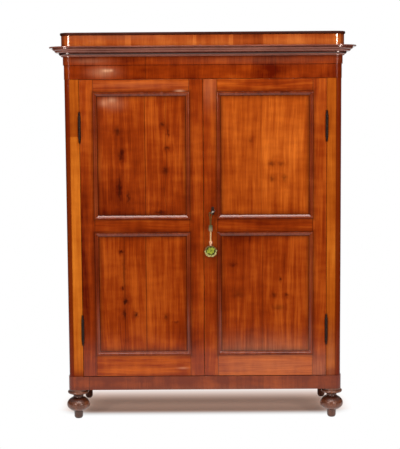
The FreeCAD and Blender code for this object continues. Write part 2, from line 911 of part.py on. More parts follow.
def make_cap():
    """A low box with rounded front corners, closed by a top board with a rounded lip."""
    front = rounded_front(cap_half, cap_front_y, size.cap_radius, size.cap_wall)
    node(prism("cap_front", "XY_Plane", front, cap_z, lip_z), "cap_front")
    inner_x = cap_half - size.cap_wall
    right = box("cap_right", (inner_x, cap_half), (cap_return_y, back_y), (cap_z, lip_z))
    node(group("cap_sides", mirrored("cap_left", right), right), "cap_sides")
    back_span = (back_y - size.cap_wall, back_y)
    node(box("cap_back", (-inner_x, inner_x), back_span, (cap_z, lip_z)), "cap_back")
    half = cap_half + size.lip_proud
    lip_front_y = cap_front_y - size.lip_proud
    radius = size.cap_radius + size.lip_proud
    plan = [
        (-half, back_y),
        (-half, lip_front_y + radius, QUARTER_ARC),
        (radius - half, lip_front_y),
        (half - radius, lip_front_y, QUARTER_ARC),
        (half, lip_front_y + radius),
        (half, back_y),
    ]
    top = prism("cap_top", "XY_Plane", plan, lip_z, top_z)
    round_lip(top)
    node(top, "cap_top")


def round_lip(board):
    """Rounds the upper and lower edges of the top board, apart from those at the back."""
    doc.recompute()
    edges = []
    for index, edge in enumerate(board.Shape.Edges, start=1):
        limits = edge.BoundBox
        upright = limits.ZLength > size.lip_thick.value / 2
        at_back = limits.YMin > back_y.value - size.lip_rounding.value
        if not upright and not at_back:
            edges.append(f"Edge{index}")
    base = board.Tip
    feature = board.newObject("PartDesign::Fillet", "lip_round")
    feature.Base = (base, edges)
    bind(feature, "Radius", size.lip_rounding)


# Doors

def groove_cut(name, edge_x, inward):
    """The panel groove along one upright edge of a stile."""
    ends = sorted((edge_x, edge_x + inward * size.groove_depth), key=lambda length: length.value)
    return box(name, ends, groove_y, (door_low_z, door_high_z))


def mortise_cuts(name, edge_x, inward):
    """Mortises for the tenons of the three rails."""
    ends = sorted((edge_x, edge_x + inward * size.tenon_length), key=lambda length: length.value)
    spans = ((door_low_z, bottom_rail_z), (lock_rail_z, lock_rail_top_z), (top_rail_z, door_high_z))
    cuts = []
    for index, (low, high) in enumerate(spans):
        span = (low + size.tenon_shoulder, high - size.tenon_shoulder)
        cuts.append(box(f"{name}_{index}", ends, groove_y, span))
    return cuts


def make_stiles():
    upright = (door_low_z, door_high_z)
    deep = (front_y, door_back_y)
    hinge_blank = box("hinge_stile_blank", (opening_high_x, door_edge_x), deep, upright)
    tools = [groove_cut("hinge_stile_groove", opening_high_x, 1)]
    tools += mortise_cuts("hinge_stile_mortise", opening_high_x, 1)
    for name, level in zip(("low", "high"), hinge_levels):
        tools.append(hinge_notch(f"stile_{name}_notch", level))
        tools.append(knuckle_leaf(f"stile_{name}_seat", level))
    right = node(cut("right_hinge_stile", hinge_blank, *tools), "right_hinge_stile")
    node(mirrored("left_hinge_stile", right), "left_hinge_stile")

    meeting_blank = box("meeting_stile_blank", (meeting_x, opening_low_x), deep, upright)
    tools = [groove_cut("meeting_stile_groove", opening_low_x, -1)]
    tools += mortise_cuts("meeting_stile_mortise", opening_low_x, -1)
    plain = cut("meeting_stile_plain", meeting_blank, *tools)
    node(mirrored("left_meeting_stile", plain), "left_meeting_stile")
    keyhole = keyhole_shape("stile_keyhole", (front_y, door_back_y))
    inlay = escutcheon_shape("stile_inlay", (front_y, front_y + size.escutcheon_depth))
    node(cut("right_meeting_stile", plain, keyhole, inlay), "right_meeting_stile")


def make_rail(name, low, high, grooved_low, grooved_high):
    """A rail with a tenon at each end, a haunch in the stile's groove and grooves for panels."""
    reach = size.groove_depth - size.joint_clearance
    haunch_low = low + size.groove_depth if grooved_low else low
    haunch_high = high - size.groove_depth if grooved_high else high
    tenon_reach = size.tenon_length - size.joint_clearance
    blank = fuse(
        f"{name}_blank",
        box(f"{name}_board", (opening_low_x, opening_high_x), (front_y, door_back_y), (low, high)),
        box(f"{name}_haunch", (opening_low_x - reach, opening_high_x + reach), groove_y,
            (haunch_low, haunch_high)),
        box(f"{name}_tenon", (opening_low_x - tenon_reach, opening_high_x + tenon_reach), groove_y,
            (low + size.tenon_shoulder, high - size.tenon_shoulder)),
    )
    span = (opening_low_x, opening_high_x)
    grooves = []
    if grooved_low:
        grooves.append(box(f"{name}_low_groove", span, groove_y, (low, low + size.groove_depth)))
    if grooved_high:
        grooves.append(box(f"{name}_high_groove", span, groove_y, (high - size.groove_depth, high)))
    right = node(cut(f"right_{name}", blank, *grooves), f"right_{name}")
    node(mirrored(f"left_{name}", right), f"left_{name}")


def make_panel(name, low, high):
    reach = size.groove_depth - size.panel_float
    right = box(f"right_{name}", (opening_low_x - reach, opening_high_x + reach), groove_y,
                (low - reach, high + reach))
    node(right, f"right_{name}")
    node(mirrored(f"left_{name}", right), f"left_{name}")


def moulding_strip(name, length, turn, x, z):
    """One mitred strip of the splayed moulding that frames a panel, laid on the panel's face."""
    body = new_body(name)
    thick = size.panel_recess + size.moulding_proud
    width = size.moulding_width
    splay_y = width - size.splay_width
    splay_z = size.moulding_edge + size.splay_rise
    section = [
        (ZERO, ZERO),
        (width, ZERO),
        (width, size.moulding_edge),
        (splay_y, splay_z),
        (splay_y, splay_z + size.splay_step, GENTLE_ARC),
        (size.moulding_flat, thick),
        (ZERO, thick),
    ]
    half = length / 2
    pad(body, outline(body, f"{name}_section", "YZ_Plane", section, lift=-half), length)
    left_end = [(-half, ZERO), (width - half, width), (-half, width)]
    right_end = [(half, ZERO), (half, width), (half - width, width)]
    mitres = outline(body, f"{name}_mitres", "XY_Plane", left_end, right_end)
    pocket = body.newObject("PartDesign::Pocket", f"{name}_mitre_cut")
    pocket.Profile = mitres
    pocket.Reversed = True
    bind(pocket, "Length", thick)
    facing = FreeCAD.Rotation(Y_AXIS, turn) * FreeCAD.Rotation(X_AXIS, QUARTER_TURN)
    body.Placement = FreeCAD.Placement(FreeCAD.Vector(), facing)
    bind_place(body, x, groove_y[0], z)
    return body


def make_mouldings():
    strips = []
    width = opening_high_x - opening_low_x
    mid_x = (opening_low_x + opening_high_x) / 2
    for name, low, high in (("low", bottom_rail_z, lock_rail_z), ("high", lock_rail_top_z, top_rail_z)):
        mid_z = (low + high) / 2
        strips += [
            moulding_strip(f"{name}_moulding_bottom", width, 0, mid_x, low),
            moulding_strip(f"{name}_moulding_top", width, HALF_TURN, mid_x, high),
            moulding_strip(f"{name}_moulding_inner", high - low, QUARTER_TURN, opening_low_x, mid_z),
            moulding_strip(f"{name}_moulding_outer", high - low, -QUARTER_TURN, opening_high_x, mid_z),
        ]
    right = node(group("right_door_mouldings", *strips), "right_door_mouldings")
    node(mirrored("left_door_mouldings", right), "left_door_mouldings")


def make_doors():
    make_stiles()
    make_rail("bottom_rail", door_low_z, bottom_rail_z, False, True)
    make_rail("lock_rail", lock_rail_z, lock_rail_top_z, True, True)
    make_rail("top_rail", top_rail_z, door_high_z, True, False)
    make_panel("lower_panel", bottom_rail_z, lock_rail_z)
    make_panel("upper_panel", lock_rail_top_z, top_rail_z)
    make_mouldings()


# Barrel hinges: a pintle on the post and a knuckle on the door, on one upright pin

def hinge_notch(name, level):
    """The round clearance for a hinge barrel in the post and the stile."""
    reach = size.barrel_length + size.finial_length + size.notch_clearance
    return rod(name, size.barrel_radius + size.notch_clearance, (hinge_x, hinge_y, level - reach), 2 * reach)


def leaf_span(level, upward):
    near = level + upward * size.leaf_end
    far = near + upward * size.leaf_length
    return (near, far) if upward > 0 else (far, near)


def pintle_leaf(name, level):
    return box(name, (post_x, post_x + size.leaf_thick), (hinge_y, hinge_y + size.leaf_depth),
               leaf_span(level, -1))


def knuckle_leaf(name, level):
    return box(name, (door_edge_x - size.leaf_thick, door_edge_x), (hinge_y, hinge_y + size.leaf_depth),
               leaf_span(level, 1))


def barrel_end(way):
    """Half section of a barrel with a ring groove and a finial, away from the split."""
    ring_near = way * (size.barrel_length - size.ring_inset - size.ring_width)
    ring_far = way * (size.barrel_length - size.ring_inset)
    shoulder = way * size.barrel_length
    collar = shoulder + way * size.finial_collar_length
    neck = collar + way * size.finial_neck_rise
    swell = neck + way * size.finial_swell_rise
    tip = shoulder + way * size.finial_length
    ball = tip - way * size.finial_tip
    groove_radius = size.barrel_radius - size.ring_depth
    return [
        (size.barrel_radius, ring_near),
        (groove_radius, ring_near),
        (groove_radius, ring_far),
        (size.barrel_radius, ring_far),
        (size.barrel_radius, shoulder),
        (size.finial_collar, shoulder),
        (size.finial_collar, collar),
        (size.finial_neck, neck),
        (size.finial_radius, swell),
        (size.finial_tip, ball, way * QUARTER_ARC),
        (ZERO, tip),
    ]


def make_hinges():
    pintles = []
    knuckles = []
    bore_radius = size.pin_radius + size.pin_clearance
    bore_length = size.pin_length - size.knuckle_gap + size.pin_end_clearance
    pintle_section = [
        (ZERO, size.pin_length),
        (size.pin_radius, size.pin_length),
        (size.pin_radius, ZERO),
        (size.barrel_radius, ZERO),
    ] + barrel_end(-1)
    knuckle_section = [
        (ZERO, size.knuckle_gap),
        (size.barrel_radius, size.knuckle_gap),
    ] + barrel_end(1)
    for name, level in zip(("low", "high"), hinge_levels):
        barrel = turned(f"{name}_pintle_barrel", pintle_section, hinge_x, hinge_y, level)
        pintles.append(fuse(f"{name}_pintle", barrel, pintle_leaf(f"{name}_pintle_leaf", level)))
        barrel = turned(f"{name}_knuckle_barrel", knuckle_section, hinge_x, hinge_y, level)
        plain = fuse(f"{name}_knuckle_plain", barrel, knuckle_leaf(f"{name}_knuckle_leaf", level))
        bore = rod(f"{name}_knuckle_bore", bore_radius, (hinge_x, hinge_y, level + size.knuckle_gap),
                   bore_length)
        knuckles.append(cut(f"{name}_knuckle", plain, bore))
    right = node(group("right_hinge_pintles", *pintles), "right_hinge_pintles")
    node(mirrored("left_hinge_pintles", right), "left_hinge_pintles")
    right = node(group("right_hinge_knuckles", *knuckles), "right_hinge_knuckles")
    node(mirrored("left_hinge_knuckles", right), "left_hinge_knuckles")


# Lock, key and keyhole in the right door

def keyhole_shape(name, depth):
    """A round hole over a slot, between two depths."""
    slot_half = size.keyhole_slot / 2
    return fuse(
        name,
        rod(f"{name}_round", size.keyhole_radius, (key_x, depth[0], key_z), depth[1] - depth[0], Y_AXIS),
        box(f"{name}_slot", (key_x - slot_half, key_x + slot_half), depth,
            (key_z - size.keyhole_drop, key_z)),
    )


def escutcheon_shape(name, depth):
    """An upright plate with round ends, between two depths."""
    radius = size.escutcheon_radius
    low = key_z - size.escutcheon_below_key
    high = key_z + size.escutcheon_above_key
    length = depth[1] - depth[0]
    return fuse(
        name,
        rod(f"{name}_low_end", radius, (key_x, depth[0], low), length, Y_AXIS),
        rod(f"{name}_high_end", radius, (key_x, depth[0], high), length, Y_AXIS),
        box(f"{name}_middle", (key_x - radius, key_x + radius), depth, (low, high)),
    )


def make_escutcheon():
    """A thin metal plate let into the face of the stile round the keyhole."""
    depth = (front_y - size.escutcheon_proud, front_y + size.escutcheon_depth)
    plate = escutcheon_shape("escutcheon_plate", depth)
    hole = keyhole_shape("escutcheon_hole", depth)
    node(cut("keyhole_escutcheon", plate, hole), "keyhole_escutcheon")


def bolt_place():
    """Limits of the retracted bolt on each axis."""
    low_x = meeting_x + size.case_inset + size.bolt_clearance
    low_y = door_back_y + size.bolt_setback
    low_z = key_z + size.bolt_rise
    return (
        (low_x, low_x + size.bolt_length),
        (low_y, low_y + size.bolt_thick),
        (low_z, low_z + size.bolt_height),
    )


def grown(span, room):
    return span[0] - room, span[1] + room


def make_lock():
    """A rim lock: a tray screwed behind the stile, whose bolt the key throws sideways."""
    bolt_x, bolt_y, bolt_z = bolt_place()
    case_x = (meeting_x + size.case_inset, meeting_x + size.case_inset + size.case_width)
    case_y = (door_back_y, door_back_y + size.case_depth)
    case_z = (key_z - size.case_below_key, key_z + size.case_above_key)
    inner_back_y = case_y[1] - size.case_wall
    shell = box("case_shell", case_x, case_y, case_z)
    hollow = box("case_hollow", grown(case_x, -size.case_wall), (door_back_y, inner_back_y),
                 grown(case_z, -size.case_wall))
    tray = cut("case_tray", shell, hollow)
    guide_y = (bolt_y[0], inner_back_y)
    above = bolt_z[1] + size.bolt_clearance
    below = bolt_z[0] - size.bolt_clearance
    guide_x = (case_x[0] + size.case_wall, case_x[0] + size.case_wall + size.guide_length)
    body = fuse("case_body", tray,
                box("upper_guide", guide_x, guide_y, (above, above + size.guide_thick)),
                box("lower_guide", guide_x, guide_y, (below - size.guide_thick, below)))
    window = box("bolt_window", (case_x[0], case_x[0] + size.case_wall), grown(bolt_y, size.bolt_clearance),
                 grown(bolt_z, size.bolt_clearance))
    key_seat = rod("key_seat", size.stem_radius + size.key_clearance, (key_x, inner_back_y, key_z),
                   size.case_wall, Y_AXIS)
    node(cut("lock_case", body, window, key_seat), "lock_case")
    talon_x = key_x + size.bolt_travel / 2
    bar = box("bolt_bar", bolt_x, bolt_y, bolt_z)
    talon = box("bolt_talon", grown((talon_x, talon_x), size.talon_width / 2), bolt_y,
                (bolt_z[0], bolt_z[0] + size.talon_depth))
    node(cut("lock_bolt", bar, talon), "lock_bolt")


def make_key():
    """A ring bow, a collared stem and a flat bit, turned to the unlocked position."""
    bit_y = door_back_y + size.bolt_setback + (size.bolt_thick - size.bit_length) / 2
    stem_start = bow_y + size.bow_radius
    collar_y = stem_start + size.bow_tube
    case_back_y = door_back_y + size.case_depth
    bow = doc.addObject("Part::Torus", "key_bow")
    bow.Placement = FreeCAD.Placement(FreeCAD.Vector(), FreeCAD.Rotation(Z_AXIS, X_AXIS))
    bind(bow, "Radius1", size.bow_radius)
    bind(bow, "Radius2", size.bow_tube)
    bind(bow, "Placement.Base.y", bow_y)
    half_bit = size.bit_thick / 2
    key = fuse(
        "key",
        bow,
        rod("key_stem", size.stem_radius, (ZERO, stem_start, ZERO), case_back_y - stem_start, Y_AXIS),
        rod("key_collar", size.stem_collar, (ZERO, collar_y, ZERO), size.stem_collar_length, Y_AXIS),
        box("key_bit", (-half_bit, half_bit), (bit_y, bit_y + size.bit_length), (ZERO, size.bit_reach)),
    )
    key.Placement = FreeCAD.Placement(FreeCAD.Vector(), FreeCAD.Rotation(Y_AXIS, size.key_rest_angle.value))
    bind(key, "Placement.Rotation.Angle", size.key_rest_angle)
    bind_place(key, key_x, ZERO, key_z)
    node(key, "key")


# Tassel that hangs from the key's bow

def make_tassel():
    """A cord looped over the bow, a wrapped sleeve, a thicker cord, a knot and a soft ball."""
    loop_radius = size.bow_tube + size.cord_gap + size.cord_radius
    sleeve_z = hang_z - size.loop_drop
    drop_z = sleeve_z - size.sleeve_length
    knot_z = drop_z - size.drop_length
    ball_top_z = knot_z - size.knot_length
    bend = doc.addObject("Part::Torus", "loop_bend")
    bend.Placement = FreeCAD.Placement(FreeCAD.Vector(), FreeCAD.Rotation(X_AXIS, QUARTER_TURN))
    bend.Angle3 = HALF_TURN
    bind(bend, "Radius1", loop_radius)
    bind(bend, "Radius2", size.cord_radius)
    bind_place(bend, hang_x, bow_y, hang_z)
    strands = [rod(f"loop_strand_{index}", size.cord_radius, (hang_x + side * loop_radius, bow_y, sleeve_z),
                   size.loop_drop) for index, side in enumerate((-1, 1))]
    node(fuse("tassel_loop", bend, *strands), "tassel_loop")
    print(f"cord loop: radius {loop_radius.value:.2f} mm over the bow, runs {size.loop_drop.value:.1f} mm")
    sleeve_section = [
        (ZERO, ZERO),
        (size.sleeve_base_radius, ZERO, GENTLE_ARC),
        (size.sleeve_radius, size.sleeve_length / 2, GENTLE_ARC),
        (size.sleeve_top_radius, size.sleeve_length),
        (ZERO, size.sleeve_length),
    ]
    sleeve = turned("tassel_sleeve", sleeve_section, hang_x, bow_y, drop_z)
    knot_section = [
        (ZERO, ZERO),
        (size.knot_end_radius, ZERO, SHALLOW_ARC),
        (size.knot_radius, size.knot_length / 2, SHALLOW_ARC),
        (size.knot_end_radius, size.knot_length),
        (ZERO, size.knot_length),
    ]
    knot = turned("tassel_knot", knot_section, hang_x, bow_y, ball_top_z)
    node(group("tassel_knots", sleeve, knot), "tassel_knots")
    node(rod("tassel_drop", size.drop_radius, (hang_x, bow_y, knot_z), size.drop_length), "tassel_drop")
    ball_y = front_y - size.ball_setoff
    ball_z = ball_top_z + size.ball_flat - size.ball_height / 2
    ball = doc.addObject("Part::Ellipsoid", "ball_form")
    bind(ball, "Radius1", size.ball_height / 2)
    bind(ball, "Radius2", size.ball_width / 2)
    bind(ball, "Radius3", size.ball_depth / 2)
    bind_place(ball, hang_x, ball_y, ball_z)
    above = box("ball_crown", grown((hang_x, hang_x), size.ball_width / 2),
                grown((ball_y, ball_y), size.ball_depth / 2), (ball_top_z, ball_top_z + size.ball_flat))
    node(cut("tassel_ball", ball, above), "tassel_ball")


# Slide bolts inside the left door

def make_slide_bolts():
    """A rod with a knob at the top and the bottom of the left meeting stile, each in two staples."""
    top_tip = stop_high_z[0] - size.rod_tip_gap
    low_tip = stop_low_z[1] + size.rod_tip_gap
    spans = {
        "top": (top_tip - size.rod_length, top_tip),
        "bottom": (low_tip, low_tip + size.rod_length),
    }
    guides = []
    for name, span in spans.items():
        middle = (span[0] + span[1]) / 2
        shaft = rod(f"{name}_rod", size.rod_radius, (rod_x, rod_y, span[0]), size.rod_length)
        knob = rod(f"{name}_knob", size.knob_radius, (rod_x, rod_y, middle), size.knob_length, Y_AXIS)
        node(fuse(f"left_{name}_bolt", shaft, knob), f"left_{name}_bolt")
        plate_z = grown(span, -size.plate_end_gap)
        plate = box(f"{name}_plate", grown((rod_x, rod_x), size.plate_width / 2),
                    (door_back_y, door_back_y + size.plate_thick), plate_z)
        staple_y = (door_back_y, rod_y + size.rod_radius + size.staple_cover)
        staple_x = grown((rod_x, rod_x), size.staple_width / 2)
        low_staple_z = plate_z[0] + size.staple_inset
        high_staple_z = plate_z[1] - size.staple_inset - size.staple_height
        staples = [box(f"{name}_staple_{index}", staple_x, staple_y, (low, low + size.staple_height))
                   for index, low in enumerate((low_staple_z, high_staple_z))]
        bracket = fuse(f"{name}_bracket", plate, *staples)
        bore = rod(f"{name}_bracket_bore", size.rod_radius + size.rod_clearance, (rod_x, rod_y, plate_z[0]),
                   plate_z[1] - plate_z[0])
        guides.append(cut(f"{name}_bolt_guide", bracket, bore))
    node(group("left_bolt_guides", *guides), "left_bolt_guides")


def check_model():
    """Stops where an object failed, a solid is not sound or a cut took nothing away."""
    for item in doc.Objects:
        if "Invalid" in item.State or "Error" in item.State:
            raise RuntimeError(f"{item.Name} failed: {item.State}")
    for name, item in NODES.items():
        if item.Shape.isNull() or not item.Shape.isValid() or not item.Shape.Solids:
            raise RuntimeError(f"{name} has no sound solid")
    for item in CUTS:
        if item.Shape.Volume >= item.Base.Shape.Volume:
            raise RuntimeError(f"{item.Name} takes nothing away")
    loop_radius = (size.bow_tube + size.cord_gap + size.cord_radius).value
    length = 2 * size.loop_drop.value + math.pi * loop_radius
    expected = math.pi * size.cord_radius.value ** 2 * length
    volume = NODES["tassel_loop"].Shape.Volume
    print(f"cord loop: {length:.1f} mm long, volume {volume:.1f} of {expected:.1f} cubic mm")


def write_parts():
    os.makedirs("parts", exist_ok=True)
    for name, item in NODES.items():
        item.Shape.exportStep(f"parts/{name}.step")


make_plinth()
make_corner_blocks()
make_front_feet()
make_rear_feet()
make_bottom_board()
make_front_posts()
make_rear_posts()
make_side_panels()
make_back_boards()
make_shelves()
make_door_stops()
make_frieze()
make_ceiling()
make_cornice()
make_cap()
make_doors()
make_hinges()
make_escutcheon()
make_lock()
make_key()
make_tassel()
make_slide_bolts()
doc.recompute()
check_model()
write_parts()
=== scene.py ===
"""Looks of the kas cupboard, in metres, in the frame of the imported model."""

import json
import math

import bpy
from mathutils import Matrix, Vector

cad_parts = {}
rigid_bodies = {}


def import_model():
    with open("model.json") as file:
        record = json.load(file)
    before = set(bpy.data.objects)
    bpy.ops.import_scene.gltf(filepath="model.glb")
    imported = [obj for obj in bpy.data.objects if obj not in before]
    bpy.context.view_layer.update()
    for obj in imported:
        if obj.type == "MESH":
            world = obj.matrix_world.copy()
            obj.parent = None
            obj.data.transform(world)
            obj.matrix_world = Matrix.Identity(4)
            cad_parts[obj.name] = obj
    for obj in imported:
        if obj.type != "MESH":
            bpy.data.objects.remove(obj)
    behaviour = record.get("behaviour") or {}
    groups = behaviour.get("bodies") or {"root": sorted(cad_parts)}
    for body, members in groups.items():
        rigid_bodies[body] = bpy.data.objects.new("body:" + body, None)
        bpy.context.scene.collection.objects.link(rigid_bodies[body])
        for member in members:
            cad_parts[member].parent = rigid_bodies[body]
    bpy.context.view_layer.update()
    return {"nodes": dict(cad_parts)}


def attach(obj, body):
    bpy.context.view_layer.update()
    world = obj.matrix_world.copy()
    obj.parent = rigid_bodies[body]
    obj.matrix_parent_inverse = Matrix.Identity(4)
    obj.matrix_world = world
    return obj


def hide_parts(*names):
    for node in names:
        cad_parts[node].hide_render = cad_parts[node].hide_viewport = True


for spare in list(bpy.data.objects):
    bpy.data.objects.remove(spare)
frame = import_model()
NODES = frame["nodes"]
scene = bpy.context.scene


# Node trees

HALO_FALL = 0.22
EDGE_SAMPLES = 4
EDGE_COSINE, FLAT_COSINE = 0.82, 0.99
MIX_FIRST, MIX_SECOND, MIX_RESULT = 6, 7, 2


class Tree:
    """A node tree that is written as expressions: each method adds a node and gives its output."""

    def __init__(self, tree):
        self.tree = tree

    def node(self, kind, inputs=None, output=0, **settings):
        made = self.tree.nodes.new(kind)
        for key, value in settings.items():
            setattr(made, key, value)
        for key, value in (inputs or {}).items():
            if isinstance(value, bpy.types.NodeSocket):
                self.link(value, made.inputs[key])
            else:
                made.inputs[key].default_value = value
        return made.outputs[output]

    def link(self, output, target):
        self.tree.links.new(output, target)

    def math(self, operation, *values):
        return self.node("ShaderNodeMath", dict(enumerate(values)), operation=operation)

    def total(self, *values):
        result = values[0]
        for value in values[1:]:
            result = self.math("ADD", result, value)
        return result

    def swing(self, value, strength):
        """How far a noise value is from its middle, times a strength."""
        return self.math("MULTIPLY_ADD", value, strength, -strength / 2)

    def span(self, value, low, high, first=0.0, last=1.0):
        """first at low and below, last at high and above, and a soft change between."""
        inputs = {"Value": value, "From Min": low, "From Max": high, "To Min": first, "To Max": last}
        return self.node("ShaderNodeMapRange", inputs, interpolation_type="SMOOTHSTEP")

    def noise(self, vector, scale, detail=2.0, roughness=0.5):
        inputs = {"Vector": vector, "Scale": scale, "Detail": detail, "Roughness": roughness}
        return self.node("ShaderNodeTexNoise", inputs)

    def vector(self, x, y, z):
        return self.node("ShaderNodeCombineXYZ", {0: x, 1: y, 2: z})

    def parts(self, vector):
        """The three numbers of a vector."""
        node = self.tree.nodes.new("ShaderNodeSeparateXYZ")
        self.link(vector, node.inputs[0])
        return tuple(node.outputs)

    def mix(self, factor, first, second, blend="MIX"):
        inputs = {"Factor": factor, MIX_FIRST: first, MIX_SECOND: second}
        return self.node("ShaderNodeMix", inputs, MIX_RESULT, data_type="RGBA", blend_type=blend)

    def ramp(self, value, *stops):
        ramp = self.tree.nodes.new("ShaderNodeValToRGB")
        points = ramp.color_ramp.elements
        while len(points) < len(stops):
            points.new(1.0)
        for point, (place, colour) in zip(points, stops):
            point.position = place
            point.color = (*colour, 1.0)
        self.link(value, ramp.inputs[0])
        return ramp.outputs[0]


def new_material(name):
    """An empty node material, its tree and its shader."""
    material = bpy.data.materials.new(name)
    material.use_nodes = True
    shader = material.node_tree.nodes["Principled BSDF"]
    return material, Tree(material.node_tree), shader


def place_xyz(tree):
    """The point in the cupboard's frame at rest, whole and as its three numbers."""
    whole = tree.node("ShaderNodeTexCoord", output="Object")
    return (whole, *tree.parts(whole))


def spot_group():
    """A node group for knots and pale patches, some of them painted highlights: how deep a point is inside
    an ellipse on the front.
    """
    group = bpy.data.node_groups.new("spot", "ShaderNodeTree")
    for name in ("X", "Z", "Place X", "Place Z", "Half Width", "Half Height"):
        group.interface.new_socket(name, in_out="INPUT", socket_type="NodeSocketFloat")
    for name in ("Depth", "Halo", "Push"):
        group.interface.new_socket(name, in_out="OUTPUT", socket_type="NodeSocketFloat")
    tree = Tree(group)
    given = group.nodes.new("NodeGroupInput").outputs
    aside = tree.math("SUBTRACT", given["X"], given["Place X"])
    across = tree.math("DIVIDE", aside, given["Half Width"])
    above = tree.math("SUBTRACT", given["Z"], given["Place Z"])
    up = tree.math("DIVIDE", above, given["Half Height"])
    square = tree.math("MULTIPLY_ADD", across, across, tree.math("MULTIPLY", up, up))
    depth = tree.math("EXPONENT", tree.math("MULTIPLY", square, -1.0))
    halo = tree.math("EXPONENT", tree.math("MULTIPLY", square, -HALO_FALL))
    push = tree.math("MULTIPLY", tree.math("MULTIPLY", across, halo), given["Half Width"])
    given_back = group.nodes.new("NodeGroupOutput").inputs
    tree.link(depth, given_back["Depth"])
    tree.link(halo, given_back["Halo"])
    tree.link(push, given_back["Push"])
    return group


SPOT = spot_group()


def spot(tree, x, z, place_x, place_z, half_width, half_height):
    """The depth, halo and push of one ellipse."""
    node = tree.tree.nodes.new("ShaderNodeGroup")
    node.node_tree = SPOT
    tree.link(x, node.inputs["X"])
    tree.link(z, node.inputs["Z"])
    for key, value in (("Place X", place_x), ("Place Z", place_z),
                       ("Half Width", half_width), ("Half Height", half_height)):
        node.inputs[key].default_value = value
    return node.outputs["Depth"], node.outputs["Halo"], node.outputs["Push"]


def surface_normal(tree, height, distance, edge):
    """A normal with softened edges and a bumped face, and how near an edge the point is."""
    soft = tree.node("ShaderNodeBevel", {"Radius": edge}, samples=EDGE_SAMPLES)
    plain = tree.node("ShaderNodeNewGeometry", output="Normal")
    meet = tree.node("ShaderNodeVectorMath", {0: soft, 1: plain}, "Value", operation="DOT_PRODUCT")
    near = tree.span(meet, EDGE_COSINE, FLAT_COSINE, 1.0, 0.0)
    inputs = {"Strength": 1.0, "Distance": distance, "Height": height, "Normal": soft}
    return tree.node("ShaderNodeBump", inputs), near


# Wood: palettes from dark to light, and the colours of its marks

RED = ((0.110, 0.0060, 0.0004), (0.310, 0.0360, 0.0020), (0.600, 0.1120, 0.0080))
GOLD = ((0.240, 0.0220, 0.0012), (0.470, 0.0780, 0.0050), (0.760, 0.1650, 0.0130))
ORANGE = ((0.260, 0.0340, 0.0020), (0.500, 0.1050, 0.0070), (0.780, 0.2200, 0.0190))
AMBER = ((0.180, 0.0220, 0.0030), (0.420, 0.0720, 0.0100), (0.700, 0.1800, 0.0300))
BURGUNDY = ((0.085, 0.0085, 0.0018), (0.245, 0.0310, 0.0050), (0.390, 0.0720, 0.0150))
EBONY = ((0.020, 0.0024, 0.0008), (0.044, 0.0060, 0.0020), (0.090, 0.0160, 0.0050))
# The cornice's palette is paler and greyer than the other woods because part of the floor's reflection on
# its downward faces is painted into it.
CORNICE = ((0.140, 0.0320, 0.0180), (0.290, 0.0840, 0.0510), (0.420, 0.1450, 0.0940))
WALNUT = ((0.050, 0.0120, 0.0045), (0.180, 0.0480, 0.0170), (0.360, 0.1150, 0.0430))
PINE = ((0.230, 0.1050, 0.0360), (0.420, 0.2280, 0.0920), (0.580, 0.3700, 0.1750))
# The colour of a darker band at the outer ends; on the plinth's rounded ends it is painted shade.
STRIP = (0.165, 0.0120, 0.0010, 1.0)
KNOT = (0.034, 0.0040, 0.0009, 1.0)
# The colour of the pale patches, some of which are painted highlights.
PATCH_AND_HIGHLIGHT = (0.800, 0.4000, 0.2200, 1.0)
# Dark seams and joints, and the colour of the painted shade round the door panels and in the painted bands
# of shade.
SEAM_AND_SHADE = (0.045, 0.0050, 0.0010, 1.0)
# Grime and painted shade in hollows, mixed in where ambient occlusion is low.
GRIME_AND_SHADE = (0.300, 0.2300, 0.2000, 1.0)
RUBBED = (0.550, 0.1700, 0.0500, 1.0)
POLISH = (1.0, 0.80, 0.72, 1.0)

# Wood: the noise layers, how they stretch along the grain, and their strengths

RAGGED = dict(scale=55.0, detail=3.0)
LINES = dict(scale=150.0, detail=4.0, roughness=0.62)
HAIRS = dict(scale=480.0, detail=3.0, roughness=0.6)
STREAK = dict(scale=44.0, detail=2.0)
RIPPLE = dict(scale=24.0, detail=2.0)
MOTTLE = dict(scale=5.0, detail=3.0)
PORE = dict(scale=1100.0, detail=1.0)
WAVE = dict(scale=9.0, detail=1.0)
RAGGED_X, RAGGED_Z = 0.022, 0.030
BEND_SCALE, BEND_STRETCH, BEND_REACH = 3.0, 0.35, 0.05
LINE_STRETCH, STREAK_STRETCH, PORE_STRETCH = 0.03, 2.0, 3.0
RIPPLE_STRETCH, MOTTLE_STRETCH, WAVE_STRETCH = 0.35, 0.6, 0.5
LINES_SHARE, HAIRS_SHARE, STREAK_SHARE = 0.65, 0.35, 0.90
MOTTLE_SHARE, RIPPLE_SHARE = 0.90, 0.45
MIDDLE_TONE = 0.5
PORE_LOW, PORE_HIGH, PORE_DARK = 0.62, 0.74, 0.35
KNOT_HALO, KNOT_PUSH = 0.30, 0.8
STEP_HALF, LEVEL_HALF, STRIP_HALF = 0.0015, 0.003, 0.003
SEAM_FULL, SEAM_END, SEAM_SCALE = 0.0012, 0.0038, 5.0
PATCH_AND_HIGHLIGHT_LINES = (0.35, 0.62, 0.65, 1.0)
HOLLOW_REACH, HOLLOW_SAMPLES = 0.024, 4
HOLLOW_DARK = (0.40, 0.92, 0.85, 0.0)
WAVE_HEIGHT, HAIR_HEIGHT, PORE_HEIGHT, WOOD_BUMP = 0.9, 0.06, -0.02, 0.0012
RUBBED_LOW, RUBBED_HIGH = 0.40, 0.62
MOTTLE_DULL, PORE_DULL = 0.16, 0.12

# The openings of the doors' frames, and the dirt and painted shade at their edges: how far inside, and how
# dark

OPENING_SIDES = (0.06625, 0.534)
OPENING_LEVELS = ((0.323, 0.932), (0.998, 1.616))
OUT_OF_ALL = -1.0
